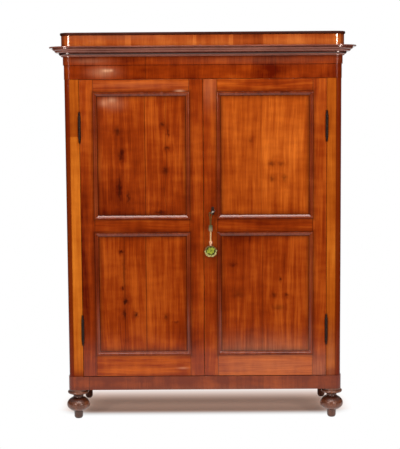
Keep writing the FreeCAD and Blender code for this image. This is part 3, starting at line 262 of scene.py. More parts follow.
# Dark joints at the mouldings' edges and step, and painted shade: the stiles darken towards the mouldings,
# and the panels along their edges.
JOINT_DIRT_AND_SHADE = ((-0.0260, 0.0), (-0.0140, 0.08), (-0.0060, 0.32), (-0.0005, 0.60), (0.0012, 0.55),
        (0.0032, 0.05), (0.0068, 0.05), (0.0080, 0.45), (0.0095, 0.05), (0.0150, 0.05), (0.0160, 0.35),
        (0.0178, 0.45), (0.0185, 0.80), (0.0220, 0.45), (0.0320, 0.18), (0.0460, 0.0))


def joint_dirt_and_shade(tree, x, z):
    """How dark the joints round a door's panels are, with the painted shade along their mouldings."""
    wide = tree.math("ABSOLUTE", x)
    side = tree.math("MINIMUM", tree.math("SUBTRACT", wide, OPENING_SIDES[0]),
                     tree.math("SUBTRACT", OPENING_SIDES[1], wide))
    level = OUT_OF_ALL
    for low, high in OPENING_LEVELS:
        within = tree.math("MINIMUM", tree.math("SUBTRACT", z, low), tree.math("SUBTRACT", high, z))
        level = tree.math("MAXIMUM", level, within)
    inside = tree.math("MINIMUM", side, level)
    first = JOINT_DIRT_AND_SHADE[0][0]
    reach = JOINT_DIRT_AND_SHADE[-1][0] - first
    stops = [((place - first) / reach, (dark, dark, dark)) for place, dark in JOINT_DIRT_AND_SHADE]
    return tree.ramp(tree.math("MULTIPLY_ADD", inside, 1 / reach, -first / reach), *stops)


def knot_marks(tree, whole, x, y, z, knots):
    """How deep a point is inside the knots, and each knot's halo and its push on the grain."""
    ragged_x = tree.total(x, tree.swing(tree.noise(whole, **RAGGED), RAGGED_X))
    ragged_z = tree.total(z, tree.swing(tree.noise(tree.vector(z, x, y), **RAGGED), RAGGED_Z))
    deep, halos, pushes = 0.0, [], []
    for *ellipse, strength in knots:
        depth, halo, push = spot(tree, ragged_x, ragged_z, *ellipse)
        deep = tree.math("MAXIMUM", deep, tree.math("MULTIPLY", depth, strength))
        halos.append(tree.math("MULTIPLY", halo, -KNOT_HALO * strength))
        pushes.append(tree.math("MULTIPLY", push, -KNOT_PUSH * strength * strength))
    return deep, halos, pushes


def grain_layers(tree, a, b, length, seed, pushes):
    """The layers of a wood's figure. a and b lie across the grain, and the pushes bend it."""
    slow = tree.vector(a, b, tree.math("MULTIPLY_ADD", length, BEND_STRETCH, seed))
    bent = tree.total(a, tree.swing(tree.noise(slow, BEND_SCALE), BEND_REACH), *pushes)
    line_way = tree.math("MULTIPLY_ADD", length, LINE_STRETCH, seed)
    streak_way = tree.math("MULTIPLY", line_way, STREAK_STRETCH)
    pore_way = tree.math("MULTIPLY", line_way, PORE_STRETCH)
    mottle_way = tree.math("MULTIPLY_ADD", length, MOTTLE_STRETCH, seed)
    pore = tree.noise(tree.vector(bent, b, pore_way), **PORE)
    return {
        "lines": tree.noise(tree.vector(bent, b, line_way), **LINES),
        "hairs": tree.noise(tree.vector(bent, b, line_way), **HAIRS),
        "streak": tree.noise(tree.vector(bent, b, streak_way), **STREAK),
        "ripple": tree.noise(tree.vector(tree.math("MULTIPLY", a, RIPPLE_STRETCH), b, length), **RIPPLE),
        "mottle": tree.noise(tree.vector(a, b, mottle_way), **MOTTLE),
        "wave": tree.noise(tree.vector(a, b, tree.math("MULTIPLY", length, WAVE_STRETCH)), **WAVE),
        "pores": tree.span(pore, PORE_LOW, PORE_HIGH),
    }


def wood(name, palette, along="z", seed=0.0, tone=0.0, figure=1.0, stripes=1.0, roughness=0.155,
         gloss=0.5, edge=0.0012, rubbed=0.2, leaf=None, steps=(), slopes=(), level_steps=(), fades=(),
         seams=(), door=False, shade_band=None, knots=(), strip=None, patches_and_highlights=()):
    """Polished wood with its grain along one axis.

    figure is how strong the grain's pattern is, and stripes how strong its long lines are in it.
    Changes of tone are leaf (width of a veneer's leaves, change between them), steps (x, change),
    slopes (x, half width, change), level_steps (z, change) and fades (low z, high z, change at the
    low end). Marks are seams (x, strength, wander), door for a door's dark joints and the painted
    shade along its mouldings, groove (low z, high z, strength), a band of painted shade, knots and
    hazes (x, z, half width, half height, strength), pale patches of which some are painted
    highlights, and strip, a darker band at the outer ends (how far from the middle it starts,
    strength).
    """
    material, tree, shader = new_material(name)
    whole, x, y, z = place_xyz(tree)
    a, b, length = {"z": (x, y, z), "x": (z, y, x), "y": (z, x, y)}[along]
    deep, halos, pushes = knot_marks(tree, whole, x, y, z, knots)
    grain = grain_layers(tree, a, b, length, seed, pushes)
    shares = {"lines": LINES_SHARE * stripes, "hairs": HAIRS_SHARE, "streak": STREAK_SHARE * stripes,
              "mottle": MOTTLE_SHARE, "ripple": RIPPLE_SHARE}
    swings = [tree.swing(grain[layer], share * figure) for layer, share in shares.items()]
    value = tree.total(*swings, MIDDLE_TONE + tone, *halos)
    for place, half, change in (*((place, STEP_HALF, change) for place, change in steps), *slopes):
        value = tree.total(value, tree.span(x, place - half, place + half, 0.0, change))
    for place, change in level_steps:
        value = tree.total(value, tree.span(z, place - LEVEL_HALF, place + LEVEL_HALF, 0.0, change))
    for low, high, change in fades:
        value = tree.total(value, tree.span(z, low, high, change, 0.0))
    if leaf:
        width, change = leaf
        leaves = tree.math("FLOOR", tree.math("DIVIDE", tree.total(x, y, seed), width))
        each = tree.node("ShaderNodeTexWhiteNoise", {"W": leaves}, noise_dimensions="1D")
        value = tree.total(value, tree.swing(each, change))
    colour = tree.ramp(value, (0.0, palette[0]), (MIDDLE_TONE, palette[1]), (1.0, palette[2]))
    colour = tree.mix(tree.math("MULTIPLY", grain["pores"], PORE_DARK), colour, (*palette[0], 1.0))

    for place, strength, wander in seams:
        line = tree.total(x, tree.swing(tree.noise(tree.vector(z, 0.0, 0.0), SEAM_SCALE), wander))
        gap = tree.math("ABSOLUTE", tree.math("SUBTRACT", line, place))
        colour = tree.mix(tree.span(gap, SEAM_FULL, SEAM_END, strength, 0.0), colour, SEAM_AND_SHADE)
    # dark joints and painted shade round the panels
    if door:
        colour = tree.mix(joint_dirt_and_shade(tree, x, z), colour, SEAM_AND_SHADE)
    # a band of painted shade across z, darkest in its middle
    if shade_band:
        low, high, strength = shade_band
        off = tree.math("ABSOLUTE", tree.math("SUBTRACT", z, (low + high) / 2))
        dark = tree.span(off, (high - low) / 3, (high - low) / 2, strength, 0.0)
        colour = tree.mix(dark, colour, SEAM_AND_SHADE)
    if knots:
        colour = tree.mix(deep, colour, KNOT)
    # a darker band at the outer ends
    if strip:
        start, strength = strip
        wide = tree.math("ABSOLUTE", x)
        outer = tree.span(wide, start - STRIP_HALF, start + STRIP_HALF, 0.0, strength)
        colour = tree.mix(outer, colour, STRIP)
    # pale patches, some of them painted highlights that stand for reflections of the lamps, broken up by
    # the grain's lines
    for *ellipse, strength in patches_and_highlights:
        depth = spot(tree, x, z, *ellipse)[0]
        patchy = tree.math("MULTIPLY", depth, tree.span(grain["lines"], *PATCH_AND_HIGHLIGHT_LINES))
        colour = tree.mix(tree.math("MULTIPLY", patchy, strength), colour, PATCH_AND_HIGHLIGHT)
    # grime and painted shade: the wood darkens in hollows and corners where ambient occlusion is low
    inputs = {"Distance": HOLLOW_REACH}
    hollow = tree.node("ShaderNodeAmbientOcclusion", inputs, "AO", samples=HOLLOW_SAMPLES)
    colour = tree.mix(tree.span(hollow, *HOLLOW_DARK), colour, GRIME_AND_SHADE, "MULTIPLY")

    height = tree.total(tree.math("MULTIPLY", grain["wave"], WAVE_HEIGHT),
                        tree.math("MULTIPLY", grain["hairs"], HAIR_HEIGHT),
                        tree.math("MULTIPLY", grain["pores"], PORE_HEIGHT))
    normal, near = surface_normal(tree, height, WOOD_BUMP, edge)
    worn = tree.math("MULTIPLY", near, tree.span(grain["mottle"], RUBBED_LOW, RUBBED_HIGH, 0.0, rubbed))
    colour = tree.mix(worn, colour, RUBBED)
    dull = tree.total(tree.swing(grain["mottle"], MOTTLE_DULL),
                      tree.math("MULTIPLY", grain["pores"], PORE_DULL), roughness)
    tree.link(colour, shader.inputs["Base Color"])
    tree.link(dull, shader.inputs["Roughness"])
    tree.link(normal, shader.inputs["Normal"])
    shader.inputs["Specular IOR Level"].default_value = gloss
    shader.inputs["Specular Tint"].default_value = POLISH
    return material


def give(material, slot, *names):
    """A material for CAD nodes whose shape stays."""
    for name in names:
        node = NODES[name]
        node.data.materials.clear()
        node.data.materials.append(material)


# The doors

PANELS = {
    "left_upper_panel": dict(
        palette=RED, seed=1.3, tone=0.05, figure=1.15, fades=((1.00, 1.32, -0.28),),
        steps=((-0.284, 0.05),), seams=((-0.284, 0.55, 0.003), (-0.184, 0.30, 0.045)),
        knots=((-0.415, 1.429, 0.012, 0.018, 0.70), (-0.396, 1.320, 0.010, 0.024, 0.70),
               (-0.404, 1.300, 0.007, 0.013, 0.65), (-0.411, 1.145, 0.006, 0.048, 0.85),
               (-0.367, 1.105, 0.007, 0.028, 0.65), (-0.197, 1.463, 0.008, 0.011, 0.65),
               (-0.172, 1.423, 0.004, 0.026, 0.65), (-0.175, 1.344, 0.012, 0.007, 0.65),
               (-0.185, 1.234, 0.011, 0.014, 0.65), (-0.214, 1.030, 0.018, 0.007, 0.65)),
        # painted highlights: reflections of a lamp on the polish
        patches_and_highlights=((-0.480, 1.566, 0.022, 0.018, 0.40), (-0.441, 1.578, 0.020, 0.012, 0.45),
               (-0.430, 1.560, 0.045, 0.028, 0.22))),
    "left_lower_panel": dict(
        palette=RED, seed=4.7, tone=0.09, steps=((-0.391, -0.04), (-0.285, 0.05)),
        seams=((-0.391, 0.30, 0.022), (-0.285, 0.60, 0.003)),
        knots=((-0.407, 0.838, 0.008, 0.008, 0.90), (-0.394, 0.730, 0.008, 0.110, 0.40),
               (-0.401, 0.656, 0.007, 0.006, 0.85), (-0.388, 0.590, 0.010, 0.012, 0.95),
               (-0.395, 0.528, 0.009, 0.014, 0.80), (-0.339, 0.521, 0.010, 0.012, 0.95),
               (-0.188, 0.510, 0.007, 0.014, 0.60), (-0.138, 0.485, 0.011, 0.005, 0.50))),
    "right_upper_panel": dict(
        palette=GOLD, seed=8.1, tone=-0.07, figure=1.2, fades=((1.00, 1.20, -0.09),),
        steps=((0.282, 0.13),), seams=((0.282, 0.20, 0.003),),
        knots=((0.331, 1.266, 0.013, 0.010, 0.48), (0.380, 1.266, 0.016, 0.009, 0.38),
               (0.335, 1.194, 0.014, 0.014, 0.48), (0.394, 1.196, 0.010, 0.014, 0.52),
               (0.232, 1.379, 0.012, 0.012, 0.35))),
    "right_lower_panel": dict(
        palette=RED, seed=11.9, tone=-0.09, fades=((0.50, 0.78, 0.10),),
        steps=((0.288, 0.13),), seams=((0.288, 0.25, 0.003),),
        knots=((0.145, 0.769, 0.013, 0.010, 0.50), (0.168, 0.624, 0.022, 0.018, 0.40),
               (0.375, 0.694, 0.006, 0.008, 0.85), (0.342, 0.618, 0.012, 0.012, 0.55),
               (0.406, 0.616, 0.008, 0.007, 0.65), (0.366, 0.556, 0.030, 0.012, 0.40)),
        patches_and_highlights=((0.300, 0.345, 0.300, 0.070, 0.18),)),
}
for name, looks in PANELS.items():
    give(wood(name, door=True, **looks), "panel_veneer", name)

# The slopes of the hinge stiles are painted shade: one half of each is darker, the inner half of the right
# stile beside its moulding and the outer half of the left stile at its hinge edge.
STILES = {
    "left_hinge_stile": dict(
        seed=2.0, tone=0.16, fades=((0.86, 1.42, -0.54), (0.45, 0.80, 0.26)),
        slopes=((-0.566, 0.018, 0.11),)),
    "left_meeting_stile": dict(
        seed=5.1, tone=0.02, fades=((0.60, 1.10, 0.04),), slopes=((-0.030, 0.018, 0.05),)),
    "right_meeting_stile": dict(
        seed=8.2, tone=0.13, fades=((1.10, 1.50, -0.14), (0.40, 0.62, 0.08)),
        patches_and_highlights=((0.030, 1.630, 0.040, 0.090, 0.12),)),
    "right_hinge_stile": dict(
        seed=11.3, tone=0.11, fades=((0.55, 1.15, -0.14),), slopes=((0.563, 0.018, 0.10),),
        patches_and_highlights=((0.567, 0.250, 0.070, 0.080, 0.16),)),
}
for name, looks in STILES.items():
    give(wood(name, RED, figure=1.15, stripes=0.8, door=True, **looks), "polished_frame", name)

RAIL_END_DARK = 0.60
RAIL_ENDS = tuple((place, RAIL_END_DARK, 0.0) for place in (-0.533, -0.0675, 0.0675, 0.533))
RAILS = {
    "left_top_rail": dict(
        seed=1.0, tone=0.09,
        # the small pale patch at x -0.112 m is a painted highlight, a glint on the rail
        patches_and_highlights=((-0.112, 1.620, 0.020, 0.006, 0.75), (-0.300, 1.650, 0.250, 0.020, 0.08))),
    "left_lock_rail": dict(seed=3.3, tone=-0.05),
    "left_bottom_rail": dict(
        # its pale streak is a painted highlight, a glint on the rail
        seed=5.6, tone=0.26, gloss=0.30, patches_and_highlights=((-0.107, 0.257, 0.024, 0.005, 0.38),)),
    "right_top_rail": dict(seed=7.9, tone=0.06),
    "right_lock_rail": dict(seed=10.2, tone=-0.02),
    "right_bottom_rail": dict(seed=12.5, tone=0.26, patches_and_highlights=((0.300, 0.270, 0.300, 0.060, 0.14),)),
}
for name, looks in RAILS.items():
    give(wood(name, RED, "x", figure=1.1, seams=RAIL_ENDS, door=True, **looks), "polished_frame", name)

give(wood("door_moulding", BURGUNDY, seed=6.1, roughness=0.15, gloss=0.6, door=True),
     "dark_moulding", "left_door_mouldings", "right_door_mouldings")


# The carcass

POST_EDGE, POST_GLOSS = 0.646, 0.12
POST_FOOT = (0.217, 0.265, -0.60)
POST_JOINT = 1.402
give(wood("post_left", ORANGE, seed=3.3, tone=0.23, figure=0.8, strip=(POST_EDGE, 0.92),
          level_steps=((POST_JOINT, -0.41),), fades=((0.22, 0.70, -0.20), POST_FOOT), gloss=POST_GLOSS),
     "polished_frame", "front_post_left")
give(wood("post_right", ORANGE, seed=6.6, tone=-0.07, figure=0.8, strip=(POST_EDGE, 0.86),
          level_steps=((POST_JOINT, -0.06),), fades=((0.30, 0.85, -0.10), POST_FOOT), gloss=POST_GLOSS,
          seams=((POST_EDGE, 0.60, 0.0),), patches_and_highlights=((0.622, 0.290, 0.022, 0.130, 0.16),)),
     "polished_frame", "front_post_right")
give(wood("carcass_side", RED, seed=9.2, leaf=(0.155, 0.12)),
     "polished_frame", "side_panels", "rear_posts")

CAP_STEPS = ((-0.544, -0.06), (-0.372, 0.24), (-0.343, -0.34), (-0.22, 0.12), (-0.046, 0.18),
             (-0.030, -0.26), (0.125, 0.28), (0.147, -0.38), (0.290, 0.26), (0.460, 0.10), (0.474, -0.10))
give(wood("cap_veneer", AMBER, seed=0.7, tone=-0.01, figure=1.2, stripes=0.5, steps=CAP_STEPS,
          leaf=(0.085, 0.08), fades=((1.845, 1.885, 0.23),), roughness=0.11, gloss=0.75,
          strip=(0.664, 0.60), patches_and_highlights=((-0.440, 1.882, 0.260, 0.016, 0.10),)),
     "crossbanded_veneer", "cap_front", "cap_sides")
give(wood("lip", EBONY, "x", seed=2.9, roughness=0.48, gloss=0.2), "crossbanded_veneer", "cap_top")

FRIEZE_STEPS = ((-0.276, 0.04), (-0.160, -0.14), (-0.020, 0.05), (0.160, 0.08), (0.240, -0.10),
                (0.351, -0.05))
give(wood("frieze_veneer", RED, seed=5.2, tone=-0.12, figure=1.8, stripes=0.2, steps=FRIEZE_STEPS,
          leaf=(0.110, 0.08), gloss=0.22, seams=((-0.276, 0.4, 0.002), (0.351, 0.4, 0.002)),
          # the two small bright patches near x -0.45 m and the wider one round them are painted highlights,
          # a lamp's reflection
          patches_and_highlights=((-0.466, 1.720, 0.017, 0.007, 0.95), (-0.442, 1.721, 0.008, 0.006, 0.90),
                 (-0.482, 1.712, 0.060, 0.024, 0.34), (-0.540, 1.767, 0.090, 0.014, 0.20),
                 (0.300, 1.768, 0.400, 0.018, 0.08))),
     "crossbanded_veneer", "frieze_front", "frieze_sides")

PLINTH_STEPS = ((-0.320, -0.17), (-0.130, -0.06), (0.120, 0.12), (0.289, 0.20), (0.480, -0.10))
# The plinth's strip is painted shade on its rounded ends.
give(wood("plinth_veneer", AMBER, seed=7.4, tone=-0.36, figure=1.3, stripes=0.30, steps=PLINTH_STEPS,
          leaf=(0.110, 0.05), rubbed=0.6, fades=((0.170, 0.208, 0.13), (0.150, 0.175, -0.16)),
          seams=((-0.572, 0.4, 0.002), (0.289, 0.35, 0.002)), strip=(0.652, 0.70),
          patches_and_highlights=((0.100, 0.150, 0.500, 0.016, 0.08),)),
     "crossbanded_veneer", "plinth_front", "plinth_sides")

# On the cornice the bed below 1.795 m is painted lighter, a painted reflection of the floor, and the dark
# band just above it is painted shade beneath the crown.
for name, along in (("cornice_front", "x"), ("cornice_sides", "y")):
    give(wood(name, CORNICE, along, seed=3.7, tone=0.5, roughness=0.16, gloss=1.0,
              level_steps=((1.795, -0.5),), shade_band=(1.7940, 1.8040, 0.95)),
         "dark_moulding", name)

# The dark band round the feet's neck and the top of the bun is painted shade.
give(wood("foot_wood", WALNUT, seed=1.9, tone=-0.30, roughness=0.34, gloss=1.0, edge=0.002,
          level_steps=((0.046, 0.25),), shade_band=(0.086, 0.124, 0.75)),
     "turned_foot", "front_foot_left", "front_foot_right")
# The rear feet are a darker, duller copy of the feet's wood: painted shade, as they stand back in the
# cupboard's shadow.
give(wood("rear_foot_wood_shaded", WALNUT, seed=1.9, tone=-0.45, roughness=0.45, gloss=0.3),
     "turned_foot", "rear_feet")

SOFTWOOD = dict(palette=PINE, figure=0.7, stripes=1.4, roughness=0.62)
BACK_STEPS = ((-0.460, 0.10), (-0.276, -0.16), (-0.092, 0.09), (0.092, -0.07), (0.276, 0.13),
              (0.460, -0.10))
BACK_SEAM_DARK = 0.55
BACK_SEAMS = tuple((place, BACK_SEAM_DARK, 0.0) for place, change in BACK_STEPS)
give(wood("pine_upright", seed=2.2, steps=BACK_STEPS, seams=BACK_SEAMS, **SOFTWOOD),
     "plain_softwood", "back_boards", "door_stops")
give(wood("pine_level", along="x", seed=5.5, **SOFTWOOD),
     "plain_softwood", "bottom_board", "shelf_lower", "shelf_middle", "shelf_upper", "top_board",
     "plinth_back", "frieze_back", "cap_back", "base_corner_blocks")
give(wood("pine_deep", along="y", seed=7.7, **SOFTWOOD), "plain_softwood", "shelf_cleats")


# Metal

CLOUD = dict(detail=5.0, roughness=0.65)
PIT_FINER, PIT_SHARE = 5.0, 0.4
METAL_BUMP, METAL_EDGE = 0.0004, 0.0008
DARK_AT, LIGHT_AT = 0.25, 0.75
METAL_WORN = (0.35, 0.60, 0.2, 0.8)
WORN_GAIN, WORN_LIFT = 3.0, 0.05
CLOUD_DULL = 0.3


def metal(name, dark, light, shine, roughness, grain):
    """Old metal: a dull skin with brighter worn edges."""
    material, tree, shader = new_material(name)
    whole = place_xyz(tree)[0]
    cloud = tree.noise(whole, grain, **CLOUD)
    pits = tree.noise(whole, grain * PIT_FINER)
    height = tree.total(cloud, tree.math("MULTIPLY", pits, PIT_SHARE))
    normal, near = surface_normal(tree, height, METAL_BUMP, METAL_EDGE)
    colour = tree.ramp(cloud, (DARK_AT, dark), (LIGHT_AT, light))
    worn = tree.math("MULTIPLY", near, tree.span(cloud, *METAL_WORN))
    bright = tuple(min(1.0, WORN_GAIN * part + WORN_LIFT) for part in light)
    tree.link(tree.mix(worn, colour, (*bright, 1.0)), shader.inputs["Base Color"])
    tree.link(tree.total(tree.swing(cloud, CLOUD_DULL), roughness), shader.inputs["Roughness"])
    tree.link(normal, shader.inputs["Normal"])
    shader.inputs["Metallic"].default_value = shine
    return material


give(metal("iron", (0.018, 0.010, 0.008), (0.060, 0.034, 0.026),
           shine=0.85, roughness=0.50, grain=90.0),
     "blackened_iron", "left_hinge_pintles", "right_hinge_pintles", "left_hinge_knuckles",
     "right_hinge_knuckles", "keyhole_escutcheon")
give(metal("steel", (0.120, 0.110, 0.100), (0.300, 0.280, 0.260),
           shine=1.0, roughness=0.42, grain=120.0),
     "lock_steel", "lock_case", "lock_bolt", "left_bolt_guides", "left_top_bolt", "left_bottom_bolt")
give(metal("key_steel", (0.200, 0.165, 0.125), (0.460, 0.400, 0.320),
           shine=1.0, roughness=0.36, grain=160.0),
     "lock_steel", "key")


# Yarn

FIBRE = dict(scale=700.0, detail=3.0, roughness=0.6)
FIBRE_STRETCH, FUZZ_SCALE = 0.4, 84.0
FIBRE_SWING, FUZZ_SWING = 1.2, 0.8
YARN_DARK_AT, YARN_LIGHT_AT = 0.1, 0.9
BAND_SHARE = 0.75
BAND_DARK = (0.3, 0.6, 0.45, 0.0)
YARN_BUMP, YARN_BUMP_DISTANCE = 0.6, 0.0006
YARN_ROUGHNESS, FUZZ_DULL = 0.85, 0.1
YARN_SHEEN, YARN_SHEEN_ROUGHNESS, YARN_GLOSS = 0.08, 0.5, 0.1


def yarn(name, dark, light, bands=None):
    """Soft twisted or looped fibre. bands are (z, colour) stops from low to high."""
    material, tree, shader = new_material(name)
    whole, x, y, z = place_xyz(tree)
    fibre = tree.noise(tree.vector(x, y, tree.math("MULTIPLY", z, FIBRE_STRETCH)), **FIBRE)
    fuzz = tree.noise(whole, FUZZ_SCALE)
    value = tree.total(tree.swing(fibre, FIBRE_SWING), tree.swing(fuzz, FUZZ_SWING), MIDDLE_TONE)
    colour = tree.ramp(value, (YARN_DARK_AT, dark), (YARN_LIGHT_AT, light))
    if bands:
        low, high = bands[0][0], bands[-1][0]
        stops = [((place - low) / (high - low), tone) for place, tone in bands]
        colour = tree.mix(BAND_SHARE, colour, tree.ramp(tree.span(z, low, high), *stops))
        colour = tree.mix(tree.span(fibre, *BAND_DARK), colour, (*dark, 1.0))
    inputs = {"Strength": YARN_BUMP, "Distance": YARN_BUMP_DISTANCE, "Height": fibre}
    tree.link(colour, shader.inputs["Base Color"])
    tree.link(tree.total(tree.swing(fuzz, FUZZ_DULL), YARN_ROUGHNESS), shader.inputs["Roughness"])
    tree.link(tree.node("ShaderNodeBump", inputs), shader.inputs["Normal"])
    shader.inputs["Sheen Weight"].default_value = YARN_SHEEN
    shader.inputs["Sheen Roughness"].default_value = YARN_SHEEN_ROUGHNESS
    shader.inputs["Specular IOR Level"].default_value = YARN_GLOSS
    return material


OLIVE_YARN = yarn("olive_yarn", (0.060, 0.035, 0.006), (0.210, 0.130, 0.030))
CREAM_YARN = yarn("cream_yarn", (0.560, 0.310, 0.110), (0.950, 0.670, 0.350))
PEACH_YARN = yarn("peach_yarn", (0.680, 0.330, 0.160), (1.000, 0.630, 0.400))
SLEEVE_YARN = yarn("sleeve_yarn", (0.090, 0.070, 0.030), (0.330, 0.280, 0.150), bands=(
    (0.940, (0.560, 0.330, 0.160)), (0.950, (0.360, 0.290, 0.180)), (0.969, (0.110, 0.130, 0.040))))
LIME_YARN = yarn("lime_yarn", (0.110, 0.130, 0.008), (0.520, 0.560, 0.070))
# Very dark green; its darkness also stands in for the shade between and around the rosette's petals.
MOSS_AND_SHADE_YARN = yarn("moss_and_shade_yarn", (0.020, 0.024, 0.003), (0.110, 0.120, 0.016))
PETAL_YARN = yarn("petal_yarn", (0.360, 0.300, 0.070), (0.900, 0.820, 0.340))
BARK_YARN = yarn("bark_yarn", (0.110, 0.050, 0.014), (0.300, 0.180, 0.060))


# Tassel: places of its pieces, from the key's ring down

HANG = Vector((0.0332225, -0.2425, 1.0267305))
LOOP_FOOT = 0.96903
SLEEVE_LOW = 0.94003
DROP_LOW = 0.89603
KNOT_LOW = 0.87003
BALL = Vector((0.0332225, -0.2445, 0.84203))
BALL_HALF = Vector((0.031, 0.028, 0.030))


def piece(name, verts, faces, material, slot, *replaced):
    """A smooth mesh that rides on the tassel."""
    mesh = bpy.data.meshes.new(name)
    mesh.from_pydata([tuple(v) for v in verts], [], faces)
    mesh.polygons.foreach_set("use_smooth", [True] * len(mesh.polygons))
    mesh.materials.append(material)
    made = bpy.data.objects.new(name, mesh)
    scene.collection.objects.link(made)
    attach(made, "tassel")
    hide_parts(*replaced)
    return made


# Cords

ROUTE_ORDER, ROUTE_STEPS = 3, 24
STRANDS, STRAND_SIDES, TURN_STEPS = 3, 8, 14
STRAND_RATIO = 1 + 2 / math.sqrt(3)


def spline_points(name, points):
    """The line of a NURBS spline with these control points."""
    curve = bpy.data.curves.new(name, "CURVE")
    curve.dimensions = "3D"
    spline = curve.splines.new("NURBS")
    spline.points.add(len(points) - 1)
    for point, place in zip(spline.points, points):
        point.co = (*place, 1.0)
    spline.order_u = ROUTE_ORDER
    spline.use_endpoint_u = True
    spline.resolution_u = ROUTE_STEPS
    holder = bpy.data.objects.new(name, curve)
    mesh = bpy.data.meshes.new_from_object(holder)
    line = [vertex.co.copy() for vertex in mesh.vertices]
    bpy.data.objects.remove(holder)
    bpy.data.meshes.remove(mesh)
    return line


def frames(line):
    """At each point of a line: the place, and two directions across it that don't twist."""
    side = None
    for number, here in enumerate(line):
        before, after = line[max(0, number - 1)], line[min(len(line) - 1, number + 1)]
        way = (after - before).normalized()
        if side is None:
            side = way.orthogonal()
        side = (side - way * side.dot(way)).normalized()
        yield here, side, way.cross(side)


def even(line, step):
    """The line's points at an even step."""
    places = [line[0]]
    left = step
    for start, end in zip(line, line[1:]):
        run = (end - start).length
        done = 0.0
        while run - done >= left:
            done += left
            places.append(start.lerp(end, done / run))
            left = step
        left -= run - done
    return places


def ring_faces(rings, sides, downward=False):
    """The faces between rings of points that follow each other, and one at each end."""
    faces = []
    for ring in range(rings - 1):
        for turn in range(sides):
            first, second = ring * sides + turn, ring * sides + (turn + 1) % sides
            faces.append((first, second, second + sides, first + sides))
    faces.append(tuple(reversed(range(sides))))
    faces.append(tuple(range((rings - 1) * sides, rings * sides)))
    if downward:
        return [(face[0], *face[:0:-1]) for face in faces]
    return faces


def tube(line, radius, sides):
    """A round body along a line."""
    verts = []
    for here, side, other in frames(line):
        for turn in range(sides):
            angle = 2 * math.pi * turn / sides
            verts.append(here + (side * math.cos(angle) + other * math.sin(angle)) * radius)
    return verts, ring_faces(len(line), sides)


def joined(parts):
    """Several lists of points and faces as one."""
    verts, faces = [], []
    for more_verts, more_faces in parts:
        start = len(verts)
        verts.extend(more_verts)
        faces.extend(tuple(start + corner for corner in face) for face in more_faces)
    return verts, faces


def rope(line, radius, pitch):
    """Twisted strands round a line."""
    strand = radius / STRAND_RATIO
    places = even(line, pitch / TURN_STEPS)
    parts = []
    for number in range(STRANDS):
        twisted = []
        for step, (here, side, other) in enumerate(frames(places)):
            angle = 2 * math.pi * (step / TURN_STEPS + number / STRANDS)
            out = side * math.cos(angle) + other * math.sin(angle)
            twisted.append(here + out * (radius - strand))
        parts.append(tube(twisted, strand, STRAND_SIDES))
    return joined(parts)


def path_length(line):
    """The length of a line of points."""
    return sum((b - a).length for a, b in zip(line, line[1:]))


LOOP_ROUTE = [HANG + Vector((across, 0.0, height)) for across, height in (
    (-0.0023, LOOP_FOOT - HANG.z), (-0.0023, -0.0390), (-0.0027, -0.0200), (-0.0062, -0.0060),
    (-0.0066, 0.0051), (0.0066, 0.0051), (0.0062, -0.0060), (0.0027, -0.0200), (0.0023, -0.0390),
    (0.0023, LOOP_FOOT - HANG.z))]
LOOP_DIAMETER, LOOP_PITCH = 0.0044, 0.010
loop_line = spline_points("loop_route", LOOP_ROUTE)
loop_shape = rope(loop_line, LOOP_DIAMETER / 2, LOOP_PITCH)
loop = piece("tassel_loop_cord", *loop_shape, OLIVE_YARN, "olive_cord", "tassel_loop")

DROP_ROUTE = [Vector((HANG.x + across, HANG.y, height)) for across, height in (
    (0.0, 0.9440), (0.0004, 0.9280), (-0.0004, 0.9080), (0.0, 0.8900))]
DROP_DIAMETER, DROP_PITCH = 0.008, 0.018
drop_line = spline_points("drop_route", DROP_ROUTE)
drop_shape = rope(drop_line, DROP_DIAMETER / 2, DROP_PITCH)
drop = piece("tassel_drop_cord", *drop_shape, CREAM_YARN, "cream_cord", "tassel_drop")


# Wound sleeve and knot

SLEEVE_RADIUS, SLEEVE_RINGS, SLEEVE_SIDES = 0.0098, 72, 48
SLEEVE_END, SLEEVE_SWELL, SLEEVE_FULLNESS = 0.80, 0.20, 0.6
SWELL_START, SWELL_SPAN = 0.12, 0.80
THREAD_DEPTH, THREAD_PITCH = 0.0009, 0.0030
KNOT_STEPS, KNOT_SIDES, KNOT_RADIUS = 96, 12, 0.0034
KNOT_WIDE, KNOT_DEEP, KNOT_HIGH = 0.00165, 0.0030, 0.0035
KNOT_SAG = 0.001
KNOT_MIDDLE = Vector((HANG.x, HANG.y, (DROP_LOW + KNOT_LOW) / 2 - KNOT_SAG))


def wound_sleeve():
    """A swelling body round the hang line, from its top down, with a thread wound on it."""
    verts = []
    for ring in range(SLEEVE_RINGS + 1):
        share = ring / SLEEVE_RINGS
        bulge = math.sin(math.pi * (SWELL_START + share * SWELL_SPAN)) ** SLEEVE_FULLNESS
        radius = SLEEVE_RADIUS * (SLEEVE_END + SLEEVE_SWELL * bulge)
        height = LOOP_FOOT + (SLEEVE_LOW - LOOP_FOOT) * share
        for turn in range(SLEEVE_SIDES):
            angle = 2 * math.pi * turn / SLEEVE_SIDES
            wound = abs(math.sin(math.pi * height / THREAD_PITCH + angle / 2))
            out = radius + THREAD_DEPTH * (wound - 1.0)
            verts.append((HANG.x + out * math.cos(angle), HANG.y + out * math.sin(angle), height))
    return verts, ring_faces(SLEEVE_RINGS + 1, SLEEVE_SIDES, downward=True)


def knot_line():
    """A trefoil's line, seen from the front."""
    for step in range(KNOT_STEPS):
        turn = 2 * math.pi * step / (KNOT_STEPS - 1)
        across = (math.sin(turn) + 2 * math.sin(2 * turn)) * KNOT_WIDE
        up = (math.cos(turn) - 2 * math.cos(2 * turn)) * KNOT_HIGH
        yield KNOT_MIDDLE + Vector((across, -math.sin(3 * turn) * KNOT_DEEP, up))


